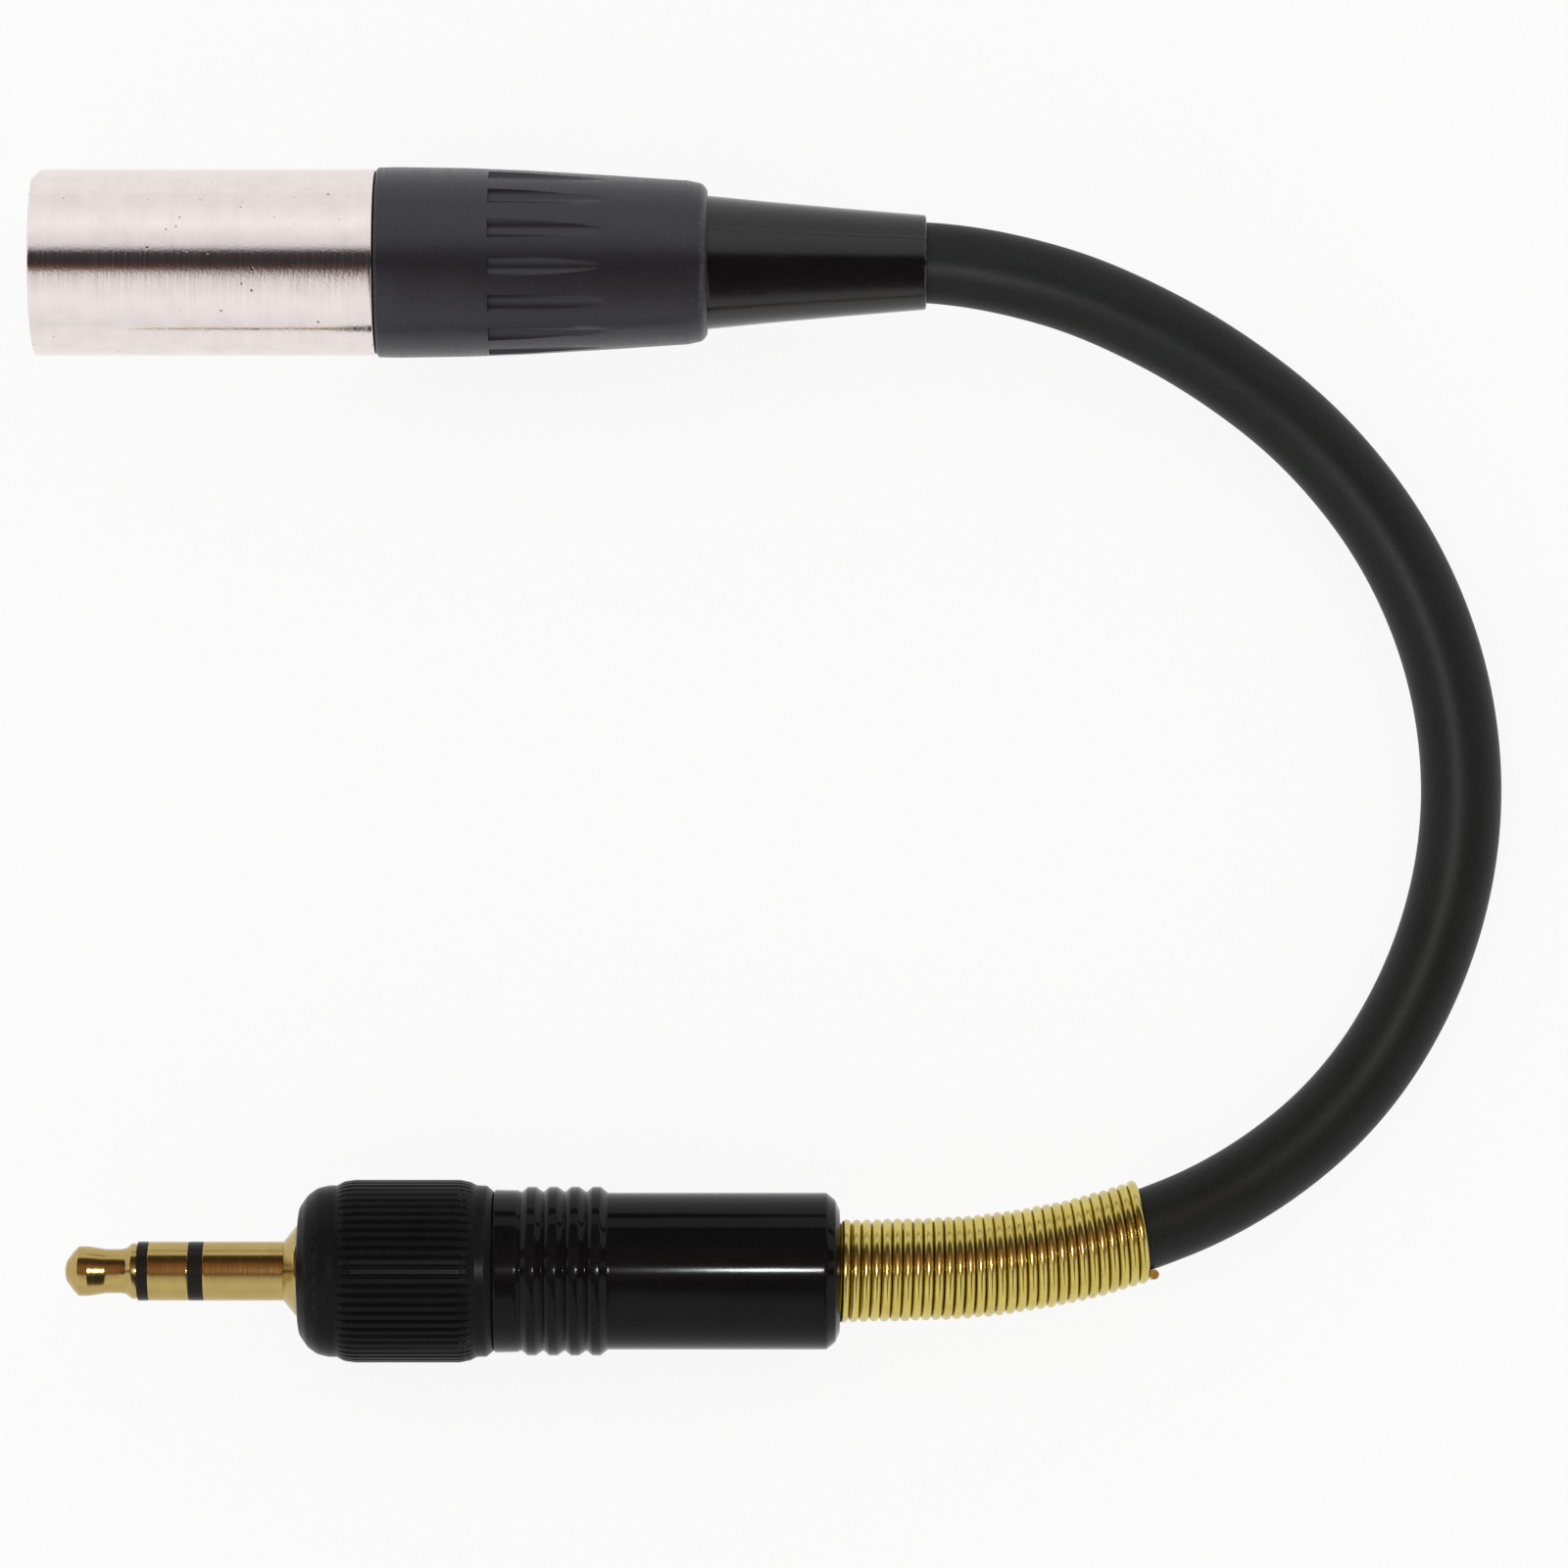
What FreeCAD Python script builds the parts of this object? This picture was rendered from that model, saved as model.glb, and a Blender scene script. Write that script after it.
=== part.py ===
import FreeCAD, Part
import math
import os

import Sketcher
from FreeCAD import Placement, Rotation, Vector

# Short adapter lead, lying flat: a small three-pin connector with its bushing and boot, a bent
# stretch of round cable, and a 3.5 mm plug with a locking ring, a barrel and a spring.
# Both connectors lie along X with their open ends at -X. The floor is z = 0. The origin is under
# the middle of the box round both connectors. Inside each connector, x counts from its open end.

DRIVING = {
    # Places
    "xlr_front": -26.42,
    "xlr_side": 29.80,
    "xlr_height": 5.64,
    "plug_front": -24.62,
    "plug_side": -30.03,
    "plug_height": 5.41,
    # Small three-pin connector: shell and insert
    "shell_od": 11.05,
    "shell_bore": 9.0,
    "shell_rear_bore": 9.5,
    "shell_length": 20.23,
    "shell_edge": 0.12,
    "cavity_depth": 10.2,
    "notch_width": 5.6,
    "notch_depth": 0.52,
    "notch_rise": 0.81,
    "insert_od": 9.42,
    "insert_length": 3.8,
    "pin_od": 1.0,
    "pin_circle": 4.0,
    "pin_recess": 4.7,
    "pin_shank": 1.2,
    "pin_hole": 1.24,
    "pin_point": 0.3,
    "cup_od": 1.5,
    "cup_bore": 1.0,
    "cup_length": 3.4,
    "cup_floor": 1.0,
    "cup_step": 0.6,
    "tab_thick": 0.3,
    "tab_width": 2.0,
    "tab_inner": 1.0,
    "tab_reach": 4.6,
    # Small three-pin connector: collet, bushing and boot
    "chuck_flange": 9.2,
    "chuck_flange_thick": 1.0,
    "chuck_od": 7.8,
    "chuck_chamber": 6.2,
    "chamber_length": 6.0,
    "chuck_grip": 4.9,
    "chuck_nose": 6.5,
    "chuck_cone": 3.0,
    "chuck_length": 12.0,
    "chuck_slot": 0.7,
    "bushing_od": 11.28,
    "bushing_nose": 9.4,
    "bushing_bore": 8.0,
    "bushing_throat": 6.8,
    "bushing_length": 19.66,
    "bushing_waist": 10.88,
    "bushing_lip": 9.66,
    "bushing_end": 8.6,
    "flute_start": 6.75,
    "flute_floor": 10.34,
    "flute_width": 1.2,
    "boot_root": 7.9,
    "boot_end": 5.62,
    "boot_bore": 4.9,
    "boot_inside": 9.0,
    "boot_length": 12.96,
    # Cable
    "cable_od": 4.8,
    "core_od": 1.4,
    "strand_od": 0.6,
    "screen_od": 0.6,
    # 3.5 mm plug contacts
    "tip_od": 2.95,
    "tip_waist": 2.62,
    "tip_collar": 3.32,
    "tip_collar_rear": 3.26,
    "rod_od": 1.0,
    "rod_head": 1.4,
    "ring_tube": 2.1,
    "front_tube": 1.6,
    "rear_tube": 2.6,
    "sleeve_od": 3.5,
    "tip_length": 4.30,
    "front_band": 0.64,
    "ring_length": 2.39,
    "rear_band": 0.87,
    "sleeve_length": 4.77,
    "cone_length": 0.69,
    "flange_od": 5.4,
    "journal_od": 6.0,
    "thread_od": 7.6,
    "nose_od": 4.0,
    "washer_thick": 0.6,
    "base_washer_od": 4.4,
    "lug_washer_od": 2.7,
    "ring_lug_od": 3.1,
    "tip_lug_od": 2.4,
    "ring_tag_length": 3.0,
    "tip_tag_length": 3.2,
    "lug_thick": 0.3,
    "lug_tag": 1.45,
    "lug_width": 1.2,
    # 3.5 mm plug: locking ring and its clip
    "lock_start": 13.84,
    "lock_length": 11.57,
    "lock_od": 10.81,
    "lock_band": 10.17,
    "lock_thread": 6.6,
    "lock_relief": 7.4,
    "lock_relief_length": 2.0,
    "lock_bore": 6.16,
    "lock_lip": 8.2,
    "knurl_start": 3.08,
    "knurl_end": 9.64,
    "knurl_depth": 0.27,
    "knurl_width": 0.3,
    "knurl_teeth": 60.0,
    "clip_od": 6.8,
    "clip_thick": 0.4,
    "clip_groove": 0.2,
    "clip_gap": 0.1,
    # 3.5 mm plug: barrel, liner and clamp
    "barrel_start": 25.52,
    "barrel_length": 20.41,
    "barrel_front": 9.66,
    "barrel_valley": 9.54,
    "barrel_body": 9.3,
    "barrel_end": 7.16,
    "barrel_thread": 7.7,
    "barrel_chamber": 8.0,
    "barrel_throat": 5.0,
    "hub_length": 4.5,
    "hub_nose": 0.6,
    "spring_seat": 6.4,
    "spring_seat_depth": 1.5,
    "rib_crest": 10.0,
    "rib_first": 2.15,
    "rib_pitch": 1.28,
    "rib_half": 0.45,
    "liner_od": 7.8,
    "liner_wall": 0.3,
    "clamp_thick": 0.35,
    "clamp_arm": 2.7,
    "clamp_start": 6.5,
    "clamp_band": 2.4,
    # Spring
    "spring_od": 6.1,
    "spring_wire": 0.5,
    "spring_pitch": 1.04,
    "spring_length": 18.6,
}

RIBS = 4
FLUTES = 15
PIN_TURNS = (90.0, 210.0, 330.0)
# How far a cutting outline stands past the surface that it cuts
PAST = 0.2
# The least volume that counts as a cut, in cubic millimetres
LEAST_CUT = 1e-4

doc = FreeCAD.newDocument("AdapterLead")


class Size(float):
    """A number that also holds the sheet expression which gives it."""

    def __new__(cls, value, text=None):
        made = float.__new__(cls, value)
        made.text = text if text is not None else repr(float(value))
        return made

    def joined(self, other, sign, value):
        return Size(value, "(%s %s %s)" % (self.text, sign, Size.of(other).text))

    @staticmethod
    def of(number):
        return number if isinstance(number, Size) else Size(number)

    def __add__(self, other):
        return self.joined(other, "+", float(self) + float(other))

    def __sub__(self, other):
        return self.joined(other, "-", float(self) - float(other))

    def __rsub__(self, other):
        return Size.of(other).joined(self, "-", float(other) - float(self))

    def __mul__(self, other):
        return self.joined(other, "*", float(self) * float(other))

    def __truediv__(self, other):
        return self.joined(other, "/", float(self) / float(other))


class Sizes:
    """The driving sizes, each under its alias in the sheet."""

    def __init__(self, table):
        sheet = doc.addObject("Spreadsheet::Sheet", "Sizes")
        for row, (alias, value) in enumerate(table.items(), start=1):
            sheet.set("A%d" % row, alias)
            sheet.set("B%d" % row, repr(value))
            sheet.setAlias("B%d" % row, alias)
        doc.recompute()
        for alias in table:
            setattr(self, alias, Size(getattr(sheet, alias), "Sizes.%s" % alias))


class Through(tuple):
    """A point that a side of an outline passes through, as an arc between its two corners."""


D = Sizes(DRIVING)
PARTS = []


def bind(item, prop, size):
    """Drive one property from the sheet."""
    item.setExpression(prop, Size.of(size).text)


def body(label, front, side, height, turn=0.0):
    """A new piece with its own frame, turned about X by degrees."""
    item = doc.addObject("PartDesign::Body", label)
    item.Label = label
    item.Placement = Placement(Vector(0, 0, 0), Rotation(Vector(1, 0, 0), turn))
    bind(item, "Placement.Base.x", front)
    bind(item, "Placement.Base.y", side)
    bind(item, "Placement.Base.z", height)
    PARTS.append(item)
    return item


def xlr_body(label, turn=0.0):
    """A piece on the axis of the small connector."""
    return body(label, D.xlr_front, D.xlr_side, D.xlr_height, turn)


def plug_body(label, turn=0.0):
    """A piece on the axis of the plug."""
    return body(label, D.plug_front, D.plug_side, D.plug_height, turn)


def origin_feature(item, role):
    """A plane or axis of the piece's own origin."""
    return next(f for f in item.Origin.OriginFeatures if f.Role == role)


def sketch_on(item, name, role, offset=None):
    """A sketch on one of the piece's own planes, at an offset along its normal."""
    sketch = item.newObject("Sketcher::SketchObject", name)
    sketch.AttachmentSupport = [(origin_feature(item, role), "")]
    sketch.MapMode = "FlatFace"
    if offset is not None:
        bind(sketch, "AttachmentOffset.Base.z", offset)
    return sketch


def flat(point):
    """A point of an outline as a vector in its plane."""
    return Vector(float(point[0]), float(point[1]), 0)


def pin_down(sketch, geometry, end, point):
    """Bind one end of a piece of a sketch to its two coordinates."""
    for kind, value, axis in (("DistanceX", point[0], -2), ("DistanceY", point[1], -1)):
        if abs(float(value)) < 1e-9:
            sketch.addConstraint(Sketcher.Constraint("PointOnObject", geometry, end, axis))
            continue
        index = sketch.addConstraint(
            Sketcher.Constraint(kind, -1, 1, geometry, end, float(value))
        )
        if isinstance(value, Size):
            sketch.setExpression("Constraints[%d]" % index, value.text)


def outline(sketch, points):
    """A closed outline through bound corners: straight sides, and arcs at Through points."""
    corners = [point for point in points if not isinstance(point, Through)]
    count = len(corners)
    bends = {}
    passed = 0
    for point in points:
        if isinstance(point, Through):
            bends[passed - 1] = point
        else:
            passed += 1
    ends = []
    for i in range(count):
        start = flat(corners[i])
        stop = flat(corners[(i + 1) % count])
        if i in bends:
            sketch.addGeometry(Part.Arc(start, flat(bends[i]), stop), False)
        else:
            sketch.addGeometry(Part.LineSegment(start, stop), False)
        # An arc is kept counter-clockwise, so its first end may be the outline's second
        first_end = 1 if (sketch.getPoint(i, 1) - start).Length < 1e-6 else 2
        ends.append((first_end, 3 - first_end))
    for i in range(count):
        after = (i + 1) % count
        sketch.addConstraint(Sketcher.Constraint("Coincident", i, ends[i][1], after, ends[after][0]))
    for i, corner in enumerate(corners):
        pin_down(sketch, i, ends[i][0], corner)
    for i, bend in bends.items():
        mark = sketch.addGeometry(Part.Point(flat(bend)), True)
        sketch.addConstraint(Sketcher.Constraint("PointOnObject", mark, 1, i))
        pin_down(sketch, mark, 1, bend)


def circle(sketch, centre, radius):
    """A bound circle."""
    index = sketch.addGeometry(Part.Circle(flat(centre), Vector(0, 0, 1), float(radius)), False)
    pin_down(sketch, index, 3, centre)
    drive = sketch.addConstraint(Sketcher.Constraint("Radius", index, float(radius)))
    sketch.setExpression("Constraints[%d]" % drive, Size.of(radius).text)


def turned(item, name, corners, angle=360.0):
    """Turn an outline of (x, radius) corners about X, even about its plane."""
    sketch = sketch_on(item, name + "_outline", "XY_Plane")
    outline(sketch, corners)
    solid = item.newObject("PartDesign::Revolution", name)
    solid.Profile = sketch
    solid.ReferenceAxis = (sketch, ["H_Axis"])
    solid.Angle = angle
    solid.Midplane = angle < 360.0
    doc.recompute()


def removes(item, cut, before):
    """Stop if a cutting feature took nothing away."""
    doc.recompute()
    if not item.Shape.Volume < before - LEAST_CUT:
        raise RuntimeError("%s in %s cuts nothing" % (cut.Label, item.Label))


def turned_groove(item, name, corners):
    """Cut an outline of (x, radius) corners, turned about X."""
    before = item.Shape.Volume
    sketch = sketch_on(item, name + "_outline", "XY_Plane")
    outline(sketch, corners)
    groove = item.newObject("PartDesign::Groove", name)
    groove.Profile = sketch
    groove.ReferenceAxis = (sketch, ["H_Axis"])
    groove.Angle = 360.0
    removes(item, groove, before)


def around(item, cut, count):
    """Repeat a cut evenly round the X axis."""
    before = item.Shape.Volume
    pattern = item.newObject("PartDesign::PolarPattern", cut.Label + "_round")
    pattern.Originals = [cut]
    pattern.Axis = (origin_feature(item, "X_Axis"), [""])
    pattern.Angle = 360.0
    pattern.Occurrences = count
    item.Tip = pattern
    removes(item, pattern, before)


def slot(item, name, corners, width):
    """Cut an (x, y) outline through half a width on each side of the XY plane."""
    before = item.Shape.Volume
    sketch = sketch_on(item, name + "_outline", "XY_Plane")
    outline(sketch, corners)
    cut = item.newObject("PartDesign::Pocket", name)
    cut.Profile = sketch
    cut.Midplane = True
    bind(cut, "Length", width)
    removes(item, cut, before)
    return cut


def drilled(item, name, centre, radius):
    """A round hole along X, right through the piece."""
    before = item.Shape.Volume
    sketch = sketch_on(item, name + "_outline", "YZ_Plane")
    circle(sketch, centre, radius)
    cut = item.newObject("PartDesign::Pocket", name)
    cut.Profile = sketch
    cut.Type = "ThroughAll"
    cut.Midplane = True
    removes(item, cut, before)
    return cut


def milled(item, name, start, length, draw):
    """Cut what draw puts in a sketch across X, from a start and for a length towards +X."""
    before = item.Shape.Volume
    sketch = sketch_on(item, name + "_outline", "YZ_Plane", start)
    draw(sketch)
    cut = item.newObject("PartDesign::Pocket", name)
    cut.Profile = sketch
    cut.Reversed = True
    bind(cut, "Length", length)
    removes(item, cut, before)
    return cut


def plate(item, name, corners, width):
    """An (x, y) outline, half a width thick on each side of the XY plane."""
    sketch = sketch_on(item, name + "_outline", "XY_Plane")
    outline(sketch, corners)
    solid = item.newObject("PartDesign::Pad", name)
    solid.Profile = sketch
    solid.Midplane = True
    bind(solid, "Length", width)
    doc.recompute()


def block(x0, x1, y0, y1):
    """The corners of an upright rectangle."""
    return [(x0, y0), (x1, y0), (x1, y1), (x0, y1)]


# Small three-pin connector

INSERT_REAR = D.cavity_depth + D.insert_length
CUP_END = INSERT_REAR + D.cup_length
JACKET_END = INSERT_REAR + D.chamber_length
CHUCK_END = INSERT_REAR + D.chuck_length
BUSHING_END = D.shell_length + D.bushing_length
BOOT_FACE = BUSHING_END + D.boot_length


def make_xlr_shell():
    """Turned shell, open in front, with a guide notch in its rim."""
    item = xlr_body("xlr_shell")
    outside = D.shell_od / 2
    turned(item, "tube", [
        (0.0, D.shell_bore / 2),
        (0.0, outside - D.shell_edge),
        (D.shell_edge, outside),
        (D.shell_length - D.shell_edge, outside),
        (D.shell_length, outside - D.shell_edge),
        (D.shell_length, D.shell_rear_bore / 2),
        (D.cavity_depth, D.shell_rear_bore / 2),
        (D.cavity_depth, D.shell_bore / 2),
    ])
    slot(item, "guide_notch", [
        (-PAST, outside - D.notch_rise - PAST),
        (D.notch_depth, outside),
        (D.notch_depth, outside + PAST),
        (-PAST, outside + PAST),
    ], D.notch_width)


def make_xlr_insert():
    """Disc that holds the pins, with a recess for the ground tab on its rear face."""
    item = xlr_body("xlr_insert", PIN_TURNS[0])
    clear = 0.1
    turned(item, "disc", block(D.cavity_depth, INSERT_REAR, 0.0, D.insert_od / 2))
    hole = drilled(item, "pin_hole", (D.pin_circle / 2, 0.0), D.pin_hole / 2)
    around(item, hole, len(PIN_TURNS))
    slot(item, "tab_recess", block(
        INSERT_REAR - D.tab_thick,
        INSERT_REAR + PAST,
        D.pin_circle / 2 - D.tab_inner - clear,
        D.insert_od / 2 + PAST,
    ), D.tab_width + clear)


def make_xlr_pin(number, turn):
    """Contact pin, thicker in the insert, with a cut-away solder cup that faces outward."""
    reach = math.radians(turn)
    item = body(
        "xlr_pin_%d" % number,
        D.xlr_front,
        D.xlr_side + D.pin_circle / 2 * math.cos(reach),
        D.xlr_height + D.pin_circle / 2 * math.sin(reach),
        turn,
    )
    cup_floor = INSERT_REAR + D.cup_floor
    turned(item, "pin", [
        (D.pin_recess, 0.0),
        (D.pin_recess, D.pin_od / 4),
        (D.pin_recess + D.pin_point, D.pin_od / 2),
        (D.cavity_depth, D.pin_od / 2),
        (D.cavity_depth, D.pin_shank / 2),
        (INSERT_REAR, D.pin_shank / 2),
        (INSERT_REAR, D.cup_od / 2),
        (CUP_END, D.cup_od / 2),
        (CUP_END, D.cup_bore / 2),
        (cup_floor, D.cup_bore / 2),
        (cup_floor, 0.0),
    ])
    slot(item, "cup_mouth", block(
        cup_floor + D.cup_step, CUP_END + PAST, D.cup_bore / 5, D.cup_od,
    ), D.cup_od + PAST)


def make_xlr_ground_tab():
    """Strip from pin 1 out to the shell."""
    item = xlr_body("xlr_ground_tab", PIN_TURNS[0])
    plate(item, "strip", block(
        INSERT_REAR - D.tab_thick, INSERT_REAR, D.pin_circle / 2 - D.tab_inner, D.tab_reach,
    ), D.tab_width)
    drilled(item, "pin_hole", (D.pin_circle / 2, 0.0), D.pin_hole / 2)


def make_xlr_chuck():
    """Slotted collet: a flange behind the insert, a chamber, and four fingers on the jacket."""
    item = xlr_body("xlr_chuck")
    flange_rear = INSERT_REAR + D.chuck_flange_thick
    chamber_taper = 0.5
    turned(item, "collet", [
        (INSERT_REAR, D.chuck_chamber / 2),
        (INSERT_REAR, D.chuck_flange / 2),
        (flange_rear, D.chuck_flange / 2),
        (flange_rear, D.chuck_od / 2),
        (CHUCK_END - D.chuck_cone, D.chuck_od / 2),
        (CHUCK_END, D.chuck_nose / 2),
        (CHUCK_END, D.chuck_grip / 2),
        (JACKET_END + chamber_taper, D.chuck_grip / 2),
        (JACKET_END, D.chuck_chamber / 2),
    ])
    finger = slot(item, "finger_slot", block(
        JACKET_END + 2 * chamber_taper,
        CHUCK_END + PAST,
        D.chuck_grip / 2 - 2 * PAST,
        D.chuck_od / 2 + PAST,
    ), D.chuck_slot)
    around(item, finger, 4)


def make_xlr_bushing():
    """Back nut: a threaded nose in the shell, a throat on the collet, and flutes for the fingers."""
    item = xlr_body("xlr_bushing")
    front = INSERT_REAR + D.chuck_flange_thick + 0.1
    shoulder = D.bushing_od / 2
    shoulder_round = 0.3
    crown_end = D.shell_length + 9.1
    lip_length = 0.9
    throat = CHUCK_END - D.chuck_cone
    throat_taper = 2.4
    throat_length = 2.2
    turned(item, "nut", [
        (front, D.bushing_bore / 2),
        (front, D.bushing_nose / 2),
        (D.shell_length, D.bushing_nose / 2),
        (D.shell_length, shoulder - shoulder_round * 0.7),
        (D.shell_length + shoulder_round, shoulder),
        Through((D.shell_length + 5.0, shoulder - 0.05)),
        (crown_end, D.bushing_waist / 2),
        (BUSHING_END - lip_length, D.bushing_lip / 2),
        Through((BUSHING_END - lip_length * 0.27, D.bushing_lip / 2 - 0.24)),
        (BUSHING_END, D.bushing_end / 2),
        (BUSHING_END, D.bushing_bore / 2),
        (throat + throat_taper + throat_length, D.bushing_bore / 2),
        (throat + throat_taper + throat_length, D.bushing_throat / 2),
        (throat + throat_taper, D.bushing_throat / 2),
        (throat, D.bushing_bore / 2),
    ])
    flute = milled(
        item, "flute", D.shell_length + D.flute_start, D.bushing_length - D.flute_start,
        lambda sketch: outline(sketch, block(
            D.flute_floor / 2, shoulder + PAST, D.flute_width * -0.5, D.flute_width / 2,
        )),
    )
    around(item, flute, FLUTES)


def make_xlr_boot():
    """Tapered rubber boot, rooted inside the bushing."""
    item = xlr_body("xlr_boot")
    collar = 0.4
    waist = 5.7
    rim = 0.2
    turned(item, "sleeve", [
        (BUSHING_END - D.boot_inside, D.boot_bore / 2),
        (BUSHING_END - D.boot_inside, D.boot_root / 2),
        (BUSHING_END + collar, D.boot_root / 2),
        Through((BUSHING_END + waist, D.boot_root / 2 - 0.55)),
        (BOOT_FACE - rim, D.boot_end / 2),
        (BOOT_FACE, D.boot_end / 2 - rim * 0.8),
        (BOOT_FACE, D.boot_bore / 2),
    ])


# 3.5 mm plug

RING_START = D.tip_length + D.front_band
REAR_BAND = RING_START + D.ring_length
SLEEVE_START = REAR_BAND + D.rear_band
CONE_START = SLEEVE_START + D.sleeve_length
FLANGE_START = CONE_START + D.cone_length
LOCK_END = D.lock_start + D.lock_length
LIP_FRONT = D.lock_start + D.lock_lip
HUB_REAR = D.barrel_start + D.hub_length
NOSE_REAR = HUB_REAR + D.hub_nose
BARREL_FACE = D.barrel_start + D.barrel_length
CLAMP_BAND = HUB_REAR + D.clamp_start
PLUG_JACKET = CLAMP_BAND - 0.5
# The lugs and their washers, from front to rear
RING_LUG = NOSE_REAR + D.washer_thick
LUG_WASHER = NOSE_REAR + D.washer_thick * 2
TIP_LUG = NOSE_REAR + D.washer_thick * 3


def make_plug_tip():
    """Tip contact and its rod, one turned piece."""
    item = plug_body("plug_tip")
    head = TIP_LUG + D.lug_thick
    turned(item, "tip", [
        (0.0, 0.0),
        Through((0.034, 0.36)),
        (0.12, 0.67),
        (0.62, 1.30),
        Through((1.2, D.tip_od / 2)),
        (1.86, 1.40),
        (2.4, D.tip_waist / 2),
        (3.3, D.tip_waist / 2),
        Through((3.68, 1.41)),
        (3.95, D.tip_collar / 2),
        (D.tip_length, D.tip_collar_rear / 2),
        (D.tip_length, D.rod_od / 2),
        (head, D.rod_od / 2),
        (head, D.rod_head / 2),
        (head + 0.4, D.rod_head / 2),
        (head + 0.4, 0.0),
    ])


def make_banded_tube(label, start, band, tube_od, bore, end):
    """A band that shows on the plug, flush with the sleeve, with the tube that runs back inside it."""
    turned(plug_body(label), "band", [
        (start, bore / 2),
        (start, D.sleeve_od / 2),
        (start + band, D.sleeve_od / 2),
        (start + band, tube_od / 2),
        (end, tube_od / 2),
        (end, bore / 2),
    ])


def make_plug_sleeve():
    """Sleeve contact, cone, flange, ring journal, barrel thread and nose, one turned piece."""
    item = plug_body("plug_sleeve")
    cone_step = 0.08
    journal_front = LIP_FRONT - 0.8
    journal_rear = LOCK_END + 0.15
    turned(item, "sleeve", [
        (SLEEVE_START, D.rear_tube / 2),
        (SLEEVE_START, D.sleeve_od / 2),
        (CONE_START, D.sleeve_od / 2),
        (CONE_START, D.sleeve_od / 2 + cone_step),
        (FLANGE_START, D.flange_od / 2),
        (journal_front, D.flange_od / 2),
        (journal_front, D.journal_od / 2),
        (journal_rear, D.journal_od / 2),
        (journal_rear, D.thread_od / 2),
        (HUB_REAR, D.thread_od / 2),
        (HUB_REAR, D.nose_od / 2),
        (NOSE_REAR, D.nose_od / 2),
        (NOSE_REAR, D.rear_tube / 2),
    ])
    groove_rear = LIP_FRONT - D.clip_gap
    turned_groove(item, "clip_groove", block(
        groove_rear - D.clip_thick,
        groove_rear,
        D.journal_od / 2 - D.clip_groove,
        D.journal_od / 2 + PAST,
    ))


def make_ring_clip():
    """Open wire clip in the sleeve's groove, in front of the locking ring's lip."""
    play = 0.02
    opened = 330.0
    groove_rear = LIP_FRONT - D.clip_gap
    turned(plug_body("ring_clip"), "clip", block(
        groove_rear - D.clip_thick + play,
        groove_rear - play,
        D.journal_od / 2 - D.clip_groove,
        D.clip_od / 2,
    ), opened)


def make_locking_ring():
    """Knurled ring: a thread in front, a relief, and a lip that turns on the journal."""
    item = plug_body("locking_ring")
    start = D.lock_start
    band = D.lock_band / 2
    crest = D.lock_od / 2
    bevel = 0.3
    turned(item, "ring", [
        (start, D.lock_thread / 2),
        (start, D.lock_thread / 2 + 0.25),
        (start + 0.29, band - 1.39),
        Through((start + 0.78, band - 0.5)),
        (start + 1.76, band),
        (start + D.knurl_start - bevel, band),
        (start + D.knurl_start, crest),
        (start + D.knurl_end, crest),
        (start + D.knurl_end + 2 * bevel, band),
        (LOCK_END - 0.45, band),
        (LOCK_END, band - 0.4),
        (LOCK_END, D.lock_bore / 2),
        (LIP_FRONT, D.lock_bore / 2),
        (LIP_FRONT, D.lock_relief / 2),
        (LIP_FRONT - D.lock_relief_length, D.lock_relief / 2),
        (LIP_FRONT - D.lock_relief_length, D.lock_thread / 2),
    ])
    tooth = milled(
        item, "knurl", start + D.knurl_start - bevel, D.knurl_end - D.knurl_start + 2 * bevel,
        lambda sketch: outline(sketch, [
            (0.0 - D.knurl_width / 2, crest),
            (0.0, crest - D.knurl_depth),
            (D.knurl_width / 2, crest),
            (0.0, crest + bevel),
        ]),
    )
    around(item, tooth, int(D.knurl_teeth))


def make_plug_barrel():
    """Barrel with four rounded ribs, a rounded end and a seat for the spring."""
    front = D.barrel_start
    edge = 0.12
    corners = [
        (front, D.barrel_thread / 2),
        (front, D.barrel_front / 2 - edge),
        (front + edge, D.barrel_front / 2),
    ]
    for i in range(RIBS):
        crest = front + D.rib_first + D.rib_pitch * i
        corners += [
            (crest - D.rib_half, D.barrel_valley / 2),
            Through((crest, D.rib_crest / 2)),
            (crest + D.rib_half, D.barrel_valley / 2),
        ]
    throat_front = BARREL_FACE - 3.4
    corners += [
        (front + D.rib_first + D.rib_pitch * RIBS - D.rib_half, D.barrel_body / 2),
        (BARREL_FACE - 0.85, D.barrel_body / 2),
        Through((BARREL_FACE - 0.3, D.barrel_body / 2 - 0.45)),
        (BARREL_FACE, D.barrel_end / 2),
        (BARREL_FACE, D.spring_seat / 2),
        (BARREL_FACE - D.spring_seat_depth, D.spring_seat / 2),
        (BARREL_FACE - D.spring_seat_depth, D.barrel_throat / 2),
        (throat_front, D.barrel_throat / 2),
        (throat_front - 0.5, D.barrel_chamber / 2),
        (HUB_REAR + 0.5, D.barrel_chamber / 2),
        (HUB_REAR + 0.5, D.barrel_thread / 2),
    ]
    turned(plug_body("plug_barrel"), "barrel", corners)


def make_barrel_liner():
    """Insulating tube inside the barrel."""
    turned(plug_body("barrel_liner"), "tube", block(
        HUB_REAR + 0.8, BARREL_FACE - 4.1, D.liner_od / 2 - D.liner_wall, D.liner_od / 2,
    ))


def make_washer(label, start, bore, od):
    """A flat insulating washer."""
    turned(plug_body(label), "washer", block(start, start + D.washer_thick, bore / 2, od / 2))


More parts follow.
